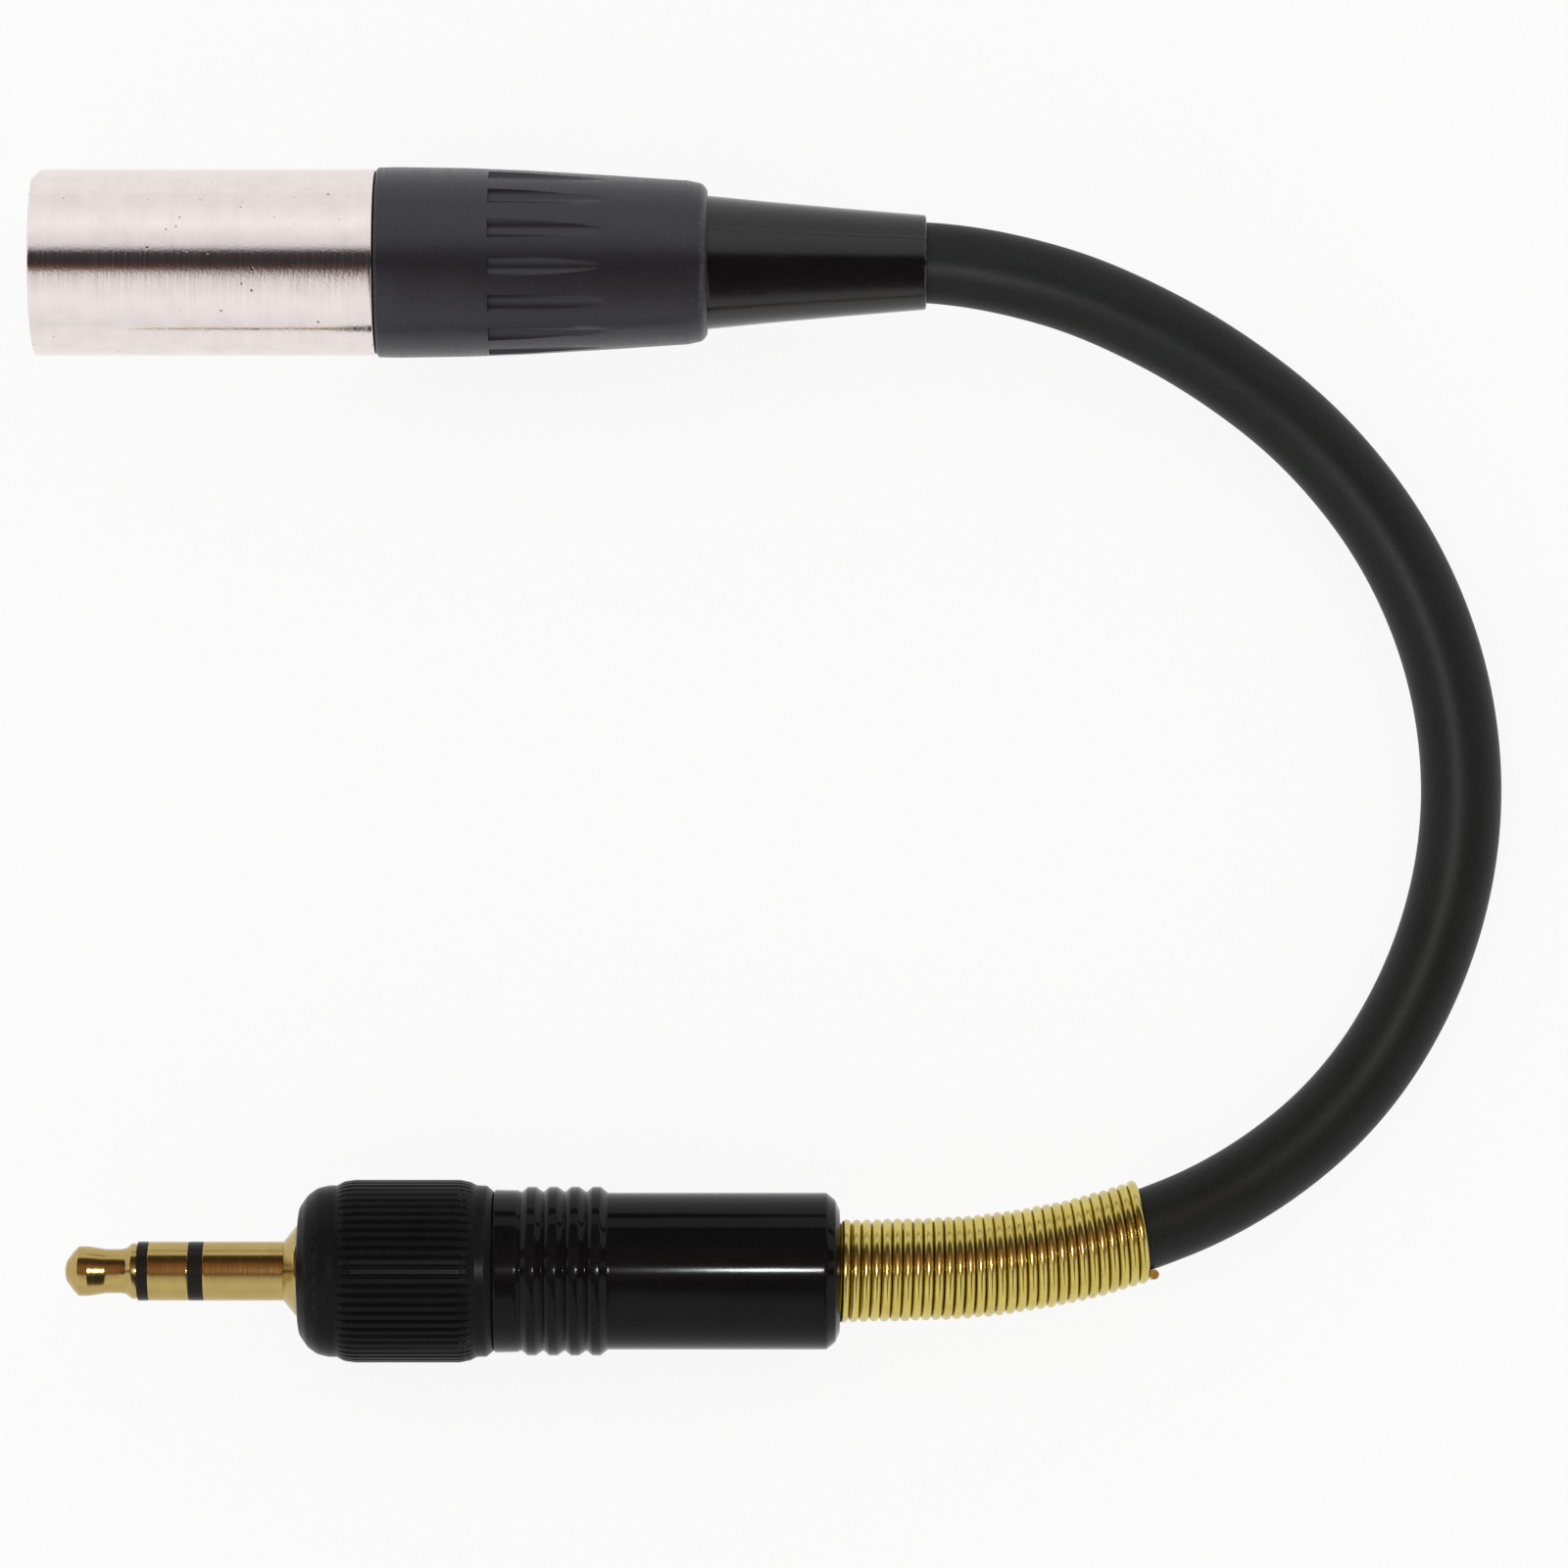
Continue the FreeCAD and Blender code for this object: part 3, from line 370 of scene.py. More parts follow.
@dataclass(frozen=True)
class Finish:
    """One finish: its colours, gloss, and fine relief in millimetres."""

    slot: Slot
    colour: Triple
    shade: Triple
    roughness: float
    spread: float = 0.04
    metallic: float = 0.0
    specular: float = 0.5
    marks: float = 0.0
    marks_depth: float = 0.0
    grains: float = 12.0
    grain_depth: float = 0.0
    patches: float = 0.3
    specks: Optional[Specks] = None
    worn: Optional[Triple] = None
    wear: float = 0.5
    dust: float = 0.0
    dust_colour: Triple = (0.35, 0.34, 0.31)
    dust_dulls: float = 0.4

    def material(self, centre: Triple = ORIGIN) -> bpy.types.Material:
        """Build the finish for a piece whose axis passes through a point, or find it again.

        Args:
            centre: The axis's front point in the piece's own coordinates, in metres.

        Returns:
            The material, named after its slot and how far the axis is to the side.
        """
        name = "%s_%d" % (self.slot.value, round(centre[1] / MM))
        if name in bpy.data.materials:
            return bpy.data.materials[name]
        made, graph = new_material(name)
        grain = graph.use(EFFECTS.grain, Centre=centre, Grains=self.grains, Patches=self.patches)
        tone = graph.span(grain.outputs["Tone"], 0.3, 0.7)
        gloss = grain.outputs["Height"]
        normal = self._bump(graph, gloss, self.grain_depth, None)
        if self.marks:
            turning = graph.use(EFFECTS.turning, Centre=centre, Lines=self.marks)
            tone = graph.math("MULTIPLY", graph.math("ADD", tone, turning.outputs["Tone"]), 0.5)
            gloss = turning.outputs["Height"]
            normal = self._bump(graph, gloss, self.marks_depth, normal)
        colour = graph.mix(tone, self.colour, self.shade)
        if self.specks is not None:
            mask = graph.use(EFFECTS.specks, Centre=centre, Cells=self.specks.cells,
                             Share=self.specks.share, Size=self.specks.size).outputs[0]
            colour = graph.mix(mask, colour, self.specks.colour)
            normal = self._bump(graph, mask, -self.specks.depth, normal)
        if self.worn is not None:
            mask = graph.use(EFFECTS.wear, Centre=centre, Amount=self.wear).outputs[0]
            colour = graph.mix(mask, colour, self.worn)
        roughness = graph.span(gloss, 0.25, 0.75, self.roughness - self.spread,
                               self.roughness + self.spread)
        if self.dust:
            mask = graph.use(EFFECTS.dust, Centre=centre, Amount=self.dust).outputs[0]
            colour = graph.mix(mask, colour, self.dust_colour)
            dull = graph.math("MULTIPLY", mask, self.dust_dulls)
            roughness = graph.math("ADD", roughness, dull)
        shader = graph.fill(graph.add("BsdfPrincipled"), **{
            "Base Color": colour, "Roughness": roughness, "Metallic": self.metallic,
            "Specular IOR Level": self.specular})
        if normal is not None:
            graph.fill(shader, Normal=normal)
        graph.add("OutputMaterial", shader.outputs[0])
        return made

    @staticmethod
    def _bump(graph: Graph, height: Socket, depth: float,
              under: Optional[Socket]) -> Optional[Socket]:
        """Lay relief over the normal so far.

        Args:
            graph: The material's graph.
            height: Relief from 0 to 1.
            depth: What a height of 1 stands for, in millimetres; below 0 is a dent.
            under: The normal so far.

        Returns:
            The new normal, or the one so far where there is no depth.
        """
        if not depth:
            return under
        node = graph.fill(graph.add("Bump", invert=depth < 0), Strength=1.0,
                          Distance=abs(depth) * MM, Height=height)
        if under is not None:
            graph.fill(node, Normal=under)
        return node.outputs[0]


NICKEL = Finish(
    Slot.NICKEL, (0.885, 0.81, 0.795), (0.76, 0.695, 0.67), roughness=0.125, spread=0.075,
    metallic=1.0, marks=7.0, marks_depth=0.0015, grains=6.0, grain_depth=0.0035, patches=0.8,
    specks=Specks(1.6, 0.34, 0.15, (0.40, 0.33, 0.29), 0.010), worn=(0.92, 0.87, 0.85), wear=0.5)
GOLD = Finish(
    Slot.GOLD, (0.50, 0.375, 0.135), (0.42, 0.305, 0.10), roughness=0.17, metallic=1.0,
    marks=7.0, marks_depth=0.0012, grains=14.0, grain_depth=0.001, patches=0.9,
    specks=Specks(2.2, 0.12, 0.10, (0.20, 0.11, 0.03), 0.004), worn=(0.62, 0.50, 0.27), wear=0.6)
SPRING_GOLD = Finish(
    Slot.SPRING, (0.66, 0.55, 0.165), (0.56, 0.45, 0.115), roughness=0.23, metallic=1.0,
    grains=5.0, grain_depth=0.001, patches=0.8,
    specks=Specks(1.6, 0.06, 0.10, (0.20, 0.13, 0.04), 0.004))
BUSHING_PLASTIC = Finish(
    Slot.BUSHING, (0.0215, 0.0195, 0.0265), (0.0160, 0.0145, 0.0200), roughness=0.34, spread=0.05,
    marks=6.0, marks_depth=0.0016, grains=15.0, grain_depth=0.002, patches=0.35,
    worn=(0.10, 0.095, 0.10), wear=0.35, dust=0.10)
BOOT_RUBBER = Finish(
    Slot.BOOT, (0.0080, 0.0072, 0.0078), (0.0058, 0.0052, 0.0056), roughness=0.18, spread=0.03,
    specular=0.46, grains=5.0, grain_depth=0.001, patches=0.5,
    specks=Specks(0.6, 0.05, 0.05, (0.16, 0.15, 0.15)), worn=(0.09, 0.075, 0.075), wear=0.6,
    dust=0.05)
JACKET = Finish(
    Slot.JACKET, (0.0088, 0.0105, 0.0092), (0.0066, 0.0080, 0.0070), roughness=0.47, spread=0.05,
    specular=0.20, grains=8.0, grain_depth=0.003, patches=0.25, dust=0.07)
BAND_PLASTIC = Finish(
    Slot.BAND, (0.010, 0.009, 0.008), (0.014, 0.011, 0.008), roughness=0.24, specular=0.12,
    grain_depth=0.002, worn=(0.05, 0.045, 0.04), wear=0.4)
RING_BLACK = Finish(
    Slot.RING, (0.0085, 0.0088, 0.0092), (0.0065, 0.0067, 0.0072), roughness=0.30, spread=0.05,
    specular=0.055, marks=8.0, marks_depth=0.0003, grains=14.0, grain_depth=0.0015, patches=0.5,
    worn=(0.035, 0.035, 0.037), wear=0.3, dust=0.02)
BARREL_BLACK = Finish(
    Slot.BARREL, (0.0048, 0.0048, 0.0054), (0.0036, 0.0036, 0.0042), roughness=0.10, spread=0.008,
    specular=0.11, grains=3.0, patches=0.4, worn=(0.02, 0.02, 0.022), wear=0.3, dust=0.02)
INSERT_PLASTIC = Finish(
    Slot.INSERT, (0.022, 0.021, 0.021), (0.016, 0.015, 0.015), roughness=0.45,
    marks=3.0, marks_depth=0.001, grains=14.0, grain_depth=0.003, worn=(0.10, 0.10, 0.10))
COLLET_PLASTIC = Finish(
    Slot.COLLET, (0.07, 0.07, 0.076), (0.05, 0.05, 0.055), roughness=0.5, grain_depth=0.003)
SPRING_STEEL = Finish(
    Slot.STEEL, (0.70, 0.70, 0.69), (0.58, 0.58, 0.57), roughness=0.22, metallic=1.0,
    grains=16.0, grain_depth=0.001)
LINER_FILM = Finish(
    Slot.LINER, (0.70, 0.67, 0.57), (0.62, 0.58, 0.48), roughness=0.4, grain_depth=0.002)
WASHER_FIBRE = Finish(
    Slot.WASHER, (0.30, 0.12, 0.06), (0.20, 0.075, 0.04), roughness=0.62, grains=6.0,
    grain_depth=0.006, patches=1.2)
CORE_WHITE = Finish(
    Slot.CORE_WHITE, (0.76, 0.76, 0.74), (0.70, 0.70, 0.67), roughness=0.36, grain_depth=0.002)
CORE_RED = Finish(
    Slot.CORE_RED, (0.50, 0.035, 0.035), (0.40, 0.025, 0.025), roughness=0.36, grain_depth=0.002)
TINNED = Finish(
    Slot.TINNED, (0.70, 0.65, 0.60), (0.60, 0.54, 0.48), roughness=0.3, metallic=1.0,
    grains=7.0, grain_depth=0.012, patches=1.0)


def even(count: int) -> Grid:
    """Give evenly spaced angles round a piece."""
    return np.arange(count) * TAU / count


def plain(x: Grid, r: Grid, angle: Grid) -> tuple[Grid, Grid, Grid]:
    """Leave a turned surface as it is."""
    return x, r, angle


def clean(mesh: bpy.types.Mesh) -> None:
    """Merge points that share a place, drop empty faces and turn the others outwards.

    Args:
        mesh: The mesh, in metres.
    """
    grid = bmesh.new()
    grid.from_mesh(mesh)
    bmesh.ops.remove_doubles(grid, verts=grid.verts, dist=1e-7)
    bmesh.ops.dissolve_degenerate(grid, edges=grid.edges, dist=1e-8)
    bmesh.ops.recalc_face_normals(grid, faces=grid.faces)
    grid.to_mesh(mesh)
    grid.free()


ROUND = even(160)


@dataclass(frozen=True)
class Outline:
    """A turned outline: up the front, back along the outside, and forward along the inside.

    A corner is its place, its radius and, where it is rounded, the radius that rounds it. A side
    that is long enough has a station at guard from each of its ends. The angles are in radians: the
    step of an arc, the least turn of a corner that wears, and the least turn that is rounded.
    """

    corners: Sequence[Corner]
    closed: bool = True
    guard: float = 0.12
    arc_step: float = math.radians(11)
    convex: float = math.radians(18)
    straight: float = 0.05
    most_of_side: float = 0.48

    def stations(self, cuts: Sequence[float]) -> Grid:
        """Round the corners and add the stations that keep the shading flat between them.

        Args:
            cuts: Extra places along the outside.

        Returns:
            Rows of place, radius and amount of edge.
        """
        bends = [self._bend(index) for index in range(len(self.corners))]
        rows: list[Triple] = []
        for index, bend in enumerate(bends):
            rows += bend
            if index < len(bends) - 1 or self.closed:
                rows += self._run(bend[-1], bends[(index + 1) % len(bends)][0], cuts)
        return np.array(rows)

    def _bend(self, index: int) -> list[Triple]:
        """Give the points that round one corner.

        Args:
            index: Which corner.

        Returns:
            One point for a sharp corner, or the points of its arc.
        """
        count = len(self.corners)
        x, r, fillet = (*self.corners[index], 0.0)[:3]
        if not self.closed and index in (0, count - 1):
            return [(x, r, 0.0)]
        here = np.array([x, r])
        back = here - np.array(self.corners[index - 1][:2])
        ahead = np.array(self.corners[(index + 1) % count][:2]) - here
        reach = self.most_of_side * min(np.linalg.norm(back), np.linalg.norm(ahead))
        back /= np.linalg.norm(back)
        ahead /= np.linalg.norm(ahead)
        turn = math.atan2(back[0] * ahead[1] - back[1] * ahead[0], float(back @ ahead))
        edge = 1.0 if turn < -self.convex else 0.0
        if not fillet or abs(turn) < self.straight:
            return [(x, r, edge)]
        cut = min(fillet * math.tan(abs(turn) / 2), reach)
        radius = cut / math.tan(abs(turn) / 2)
        start = here - back * cut
        centre = start + np.array([-back[1], back[0]]) * math.copysign(1.0, turn) * radius
        spoke = start - centre
        steps = max(3, math.ceil(abs(turn) / self.arc_step))
        points = []
        for step in range(steps + 1):
            angle = turn * step / steps
            cos, sin = math.cos(angle), math.sin(angle)
            points.append((centre[0] + spoke[0] * cos - spoke[1] * sin,
                           centre[1] + spoke[0] * sin + spoke[1] * cos,
                           edge * math.sin(math.pi * (step + 0.5) / (steps + 1))))
        return points

    def _run(self, start: Triple, end: Triple, cuts: Sequence[float]) -> list[Triple]:
        """Give the stations between two corners.

        Args:
            start: The last point of the first corner.
            end: The first point of the next one.
            cuts: Extra places along the outside.

        Returns:
            The stations strictly between them.
        """
        gap = (end[0] - start[0], end[1] - start[1])
        length = math.hypot(*gap)
        if length < 1e-9:
            return []
        shares = {self.guard / length, 1 - self.guard / length} if length > 3 * self.guard else set()
        if gap[0] > 0:
            shares |= {(cut - start[0]) / gap[0] for cut in cuts}
        return [(start[0] + gap[0] * share, start[1] + gap[1] * share, 0.0)
                for share in sorted(shares) if 1e-3 < share < 1 - 1e-3]

    def mesh(self, angles: Grid = ROUND, cuts: Sequence[float] = (), relief: Relief = plain,
             sharp: float = 32.0) -> bpy.types.Mesh:
        """Turn the outline about the axis.

        Args:
            angles: The columns' angles.
            cuts: Extra places along the outside.
            relief: What moves the points off the turned surface.
            sharp: The angle in degrees above which an edge is creased.

        Returns:
            The mesh, in metres from its axis.
        """
        stations = self.stations(cuts)
        count, columns = shape = len(stations), len(angles)
        x = np.broadcast_to(stations[:, :1], shape)
        r = np.broadcast_to(stations[:, 1:2], shape)
        x, r, angle = relief(x, r, np.broadcast_to(angles[None, :], shape))
        places = np.stack([x, r * np.sin(angle), r * np.cos(angle)], axis=-1).reshape(-1, 3) * MM
        rows = np.arange(count if self.closed else count - 1)[:, None]
        cols = np.arange(columns)[None, :]
        ahead = (rows + 1) % count
        aside = (cols + 1) % columns
        quads = np.stack([rows * columns + cols, rows * columns + aside,
                          ahead * columns + aside, ahead * columns + cols], axis=-1).reshape(-1, 4)
        mesh = bpy.data.meshes.new("turned")
        mesh.from_pydata(places.tolist(), [], quads.tolist())
        edge = mesh.attributes.new("edge", "FLOAT", "POINT")
        edge.data.foreach_set("value", np.repeat(stations[:, 2], columns).astype(np.float32))
        clean(mesh)
        mesh.polygons.foreach_set("use_smooth", [True] * len(mesh.polygons))
        mesh.set_sharp_from_angle(angle=math.radians(sharp))
        return mesh


def dress(piece: bpy.types.Object, finish: Finish, nodes: Sequence[str],
          body: Body = Body.ROOT) -> None:
    """Give a piece its finish, tie it to its body, and hide the CAD nodes it stands for.

    Args:
        piece: The piece.
        finish: Its finish.
        nodes: The CAD nodes that it stands for.
        body: The body that it rides on.
    """
    piece.data.materials.append(finish.material())
    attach(piece, body.value)
    if nodes:
        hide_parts(*nodes)
    LOG.info("made %s for %s, on %s", piece.name, ", ".join(nodes) or "detail", body.value)


def axis_start(node: str) -> Triple:
    """Give the front point of a round CAD node's axis, in metres."""
    low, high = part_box(node)
    return (low.x, (low.y + high.y) / 2, (low.z + high.z) / 2)


@dataclass
class Connector:
    """What both connectors share: pieces turned about one axis, and nodes kept from the CAD."""

    axis: Triple
    pieces: list[bpy.types.Object] = field(default_factory=list)

    def add(self, name: str, mesh: bpy.types.Mesh, finish: Finish, nodes: Sequence[str] = (),
            body: Body = Body.ROOT, offset: Triple = ORIGIN) -> None:
        """Put a mesh in place and dress it.

        Args:
            name: The piece's name.
            mesh: Its mesh, in metres from the axis.
            finish: Its finish.
            nodes: The CAD nodes that it stands for.
            body: The body that it rides on.
            offset: How far its own axis is from the connector's, in metres.
        """
        mesh.name = name
        piece = add_object(name, mesh)
        piece.location = Vector(self.axis) + Vector(offset)
        dress(piece, finish, nodes, body)
        self.pieces.append(piece)

    def keep(self, finish: Finish, *nodes: str) -> None:
        """Dress CAD nodes that stay as they are.

        Args:
            finish: Their finish.
            *nodes: Their names.
        """
        made = finish.material(self.axis)
        for name in nodes:
            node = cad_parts[name]
            if not node.material_slots:
                node.data.materials.append(made)
            for slot in node.material_slots:
                slot.material = made
            self.pieces.append(node)
            LOG.info("kept %s with %s", name, finish.slot.value)


@dataclass
class SmallConnector(Connector):
    """The small three-pin connector: shell, insert, pins, fluted bushing and boot."""

    shell_radius: float = 5.525
    shell_length: float = 20.23
    mouth_radius: float = 4.5
    rear_bore: float = 4.75
    cavity: float = 10.2
    notch_from: float = 4.715
    notch_slant: float = 0.642
    notch_length: float = 1.0
    insert_radius: float = 4.71
    insert_rear: float = 14.0
    pin_radius: float = 0.5
    pin_circle: float = 2.0
    pin_front: float = 4.7
    pin_turns: Triple = (90.0, 330.0, 210.0)
    cup_radius: float = 0.75
    cup_floor: float = 15.0
    cup_end: float = 17.4
    bushing_end: float = 39.89
    flutes: int = 15
    flute_start: float = 26.98
    flute_end: float = 34.6
    flute_centre: float = 5.88
    flute_radius: float = 0.71
    flute_share: float = 0.5
    boot_start: float = 30.89
    boot_end: float = 52.85
    mould_line: float = 27.0
    mould_rise: float = 0.028

    def build(self) -> None:
        """Make and dress every piece."""
        self.make_shell()
        self.make_insert()
        self.make_pins()
        self.make_bushing()
        self.make_boot()
        self.keep(TINNED, "xlr_ground_tab", "xlr_screen_tail")
        self.keep(COLLET_PLASTIC, "xlr_chuck")
        self.keep(JACKET, "xlr_cable_end")
        self.keep(CORE_WHITE, "xlr_core_1")
        self.keep(CORE_RED, "xlr_core_2")

    def make_shell(self) -> None:
        """Turn the shell, with a slanted guide notch on the +Y side of its rim."""
        outer, bore, mouth, length = (
            self.shell_radius, self.rear_bore, self.mouth_radius, self.shell_length)
        outline = Outline([
            (0.0, mouth + 0.12, 0.1), (0.0, outer, 0.13), (length, outer, 0.10), (length, bore),
            (self.cavity, bore), (self.cavity, mouth), (0.25, mouth, 0.3)])

        def notch(x: Grid, r: Grid, angle: Grid) -> tuple[Grid, Grid, Grid]:
            """Push the rim back where the notch is."""
            depth = np.maximum(0.0, (r * np.sin(angle) - self.notch_from) * self.notch_slant)
            near = np.clip(1 - x / self.notch_length, 0.0, 1.0)
            return x + depth * near, r, angle

        mesh = outline.mesh(even(288), [0.35, 0.6, 0.8, self.notch_length], notch)
        self.add("shell_tube", mesh, NICKEL, ["xlr_shell"])

    def make_insert(self) -> None:
        """Turn the disc that holds the pins, with a raised rim and a shallow well in its face."""
        radius, hole, face, rear = (
            self.insert_radius, self.pin_radius + 0.03, self.cavity, self.insert_rear)
        disc = Outline([
            (face + 0.35, 0.0), (face + 0.35, 3.15, 0.1), (face, 3.3, 0.08), (face, 4.1, 0.08),
            (face + 0.25, 4.2, 0.08), (face + 0.25, radius), (rear, radius, 0.1), (rear, 0.0),
        ], closed=False)
        self.add("insert_disc", disc.mesh(), INSERT_PLASTIC, ["xlr_insert"])
        collar = Outline([(face + 0.1, hole, 0.05), (face + 0.1, 0.95, 0.08), (face + 0.5, 1.0),
                          (face + 0.5, hole)])
        for number, offset in enumerate(self.pin_places(), start=1):
            self.add("insert_collar_%d" % number, collar.mesh(even(48)), INSERT_PLASTIC,
                     offset=offset)

    def pin_places(self) -> list[Triple]:
        """Give how far each pin is from the connector's axis, in metres."""
        return [(0.0, self.pin_circle * MM * math.sin(angle), self.pin_circle * MM * math.cos(angle))
                for angle in map(math.radians, self.pin_turns)]

    def make_pins(self) -> None:
        """Turn three pins with domed points and hollow solder cups."""
        radius, cup, front, rear = self.pin_radius, self.cup_radius, self.pin_front, self.insert_rear
        outline = Outline([
            (front, 0.0), (front, radius, 0.42), (rear, radius), (rear, cup, 0.08),
            (self.cup_end, cup, 0.06), (self.cup_end, radius, 0.05),
            (self.cup_floor, radius, 0.2), (self.cup_floor, 0.0)], closed=False)
        for number, offset in enumerate(self.pin_places(), start=1):
            self.add("contact_pin_%d" % number, outline.mesh(even(48)), GOLD,
                     ["xlr_pin_%d" % number], offset=offset)

    def make_bushing(self) -> None:
        """Turn the back nut and sink a ring of concave flutes in its taper."""
        end, shoulder = self.bushing_end, self.shell_length
        outline = Outline([
            (15.1, 4.0), (15.1, 4.7, 0.1), (shoulder - 0.02, 4.7), (shoulder + 0.02, 5.38, 0.05),
            (shoulder + 0.16, 5.62, 0.20), (21.63, 5.645, 3.0), (25.6, 5.585, 12.0),
            (29.33, 5.44, 12.0), (34.2, 5.15, 12.0), (38.75, 4.85, 1.2), (39.62, 4.66, 0.55),
            (end, 4.25, 0.3), (end, 4.0, 0.08), (end - 9.3, 4.0), (28.3, 3.4), (25.4, 3.4),
            (23.0, 4.0)])
        sector = math.pi / self.flutes
        share, start = self.flute_share, self.flute_start
        centre, radius = self.flute_centre, self.flute_radius
        least, bore_edge = math.radians(0.4), math.radians(6.0)
        outer_from, outer_most = 5.0, 5.6

        def flute(x: Grid, r: Grid, angle: Grid) -> tuple[Grid, Grid, Grid]:
            """Sink the flutes, with columns that follow their edges."""
            middle = np.round((angle - math.pi / 2) / (2 * sector)) * 2 * sector + math.pi / 2
            across = (angle - middle) / sector
            outside = r > outer_from
            surface = np.minimum(r, outer_most)
            cosine = (surface ** 2 + centre ** 2 - radius ** 2) / (2 * surface * centre)
            edge = np.maximum(np.arccos(np.clip(cosine, -1.0, 1.0)), least)
            edge = np.where(outside, edge, bore_edge)
            inner = np.abs(across) <= share + 1e-9
            beyond = edge + (np.abs(across) - share) / (1 - share) * (sector - edge)
            turned = np.where(inner, across / share * edge, np.sign(across) * beyond)
            well = np.maximum(radius ** 2 - (centre * np.sin(turned)) ** 2, 0.0)
            floor = centre * np.cos(turned) - np.sqrt(well)
            sunk = inner & outside & (x > start)
            return x, np.where(sunk, np.minimum(r, floor), r), middle + turned

        inside = np.linspace(-share, share, 15)
        between = np.linspace(share, 1.0, 5)[1:-1]
        across = np.concatenate([-between[::-1], inside, between, [1.0]])
        angles = np.concatenate([
            math.pi / 2 + (2 * index + across) * sector for index in range(self.flutes)])
        cuts = [start - 0.10, start, start + 0.015]
        cuts += list(np.linspace(start + 0.1, self.flute_end, 44))
        self.add("bushing_nut", outline.mesh(angles, cuts, flute), BUSHING_PLASTIC, ["xlr_bushing"])

    def make_boot(self) -> None:
        """Turn the tapered boot, with a faint mould line along each side of its top."""
        front, end = self.boot_start, self.boot_end
        outline = Outline([
            (front, 2.45), (front, 3.95, 0.2), (40.0, 3.95, 1.0), (43.29, 3.62, 12.0),
            (47.89, 3.21, 20.0), (end, 2.80, 0.22), (end, 2.47, 0.06)])
        width = math.radians(1.3)
        lines = [math.radians(self.mould_line), math.radians(self.mould_line + 180)]

        def moulded(x: Grid, r: Grid, angle: Grid) -> tuple[Grid, Grid, Grid]:
            """Raise the mould lines on the outside."""
            rise = sum(np.exp(-((angle - line) / width) ** 2) for line in lines)
            return x, r + self.mould_rise * rise * (r > 2.6), angle

        fine = [line + width * step for line in lines for step in np.linspace(-2, 2, 13)]
        angles = np.unique(np.concatenate([even(144), fine]))
        self.add("boot_sleeve", outline.mesh(angles, relief=moulded), BOOT_RUBBER, ["xlr_boot"])


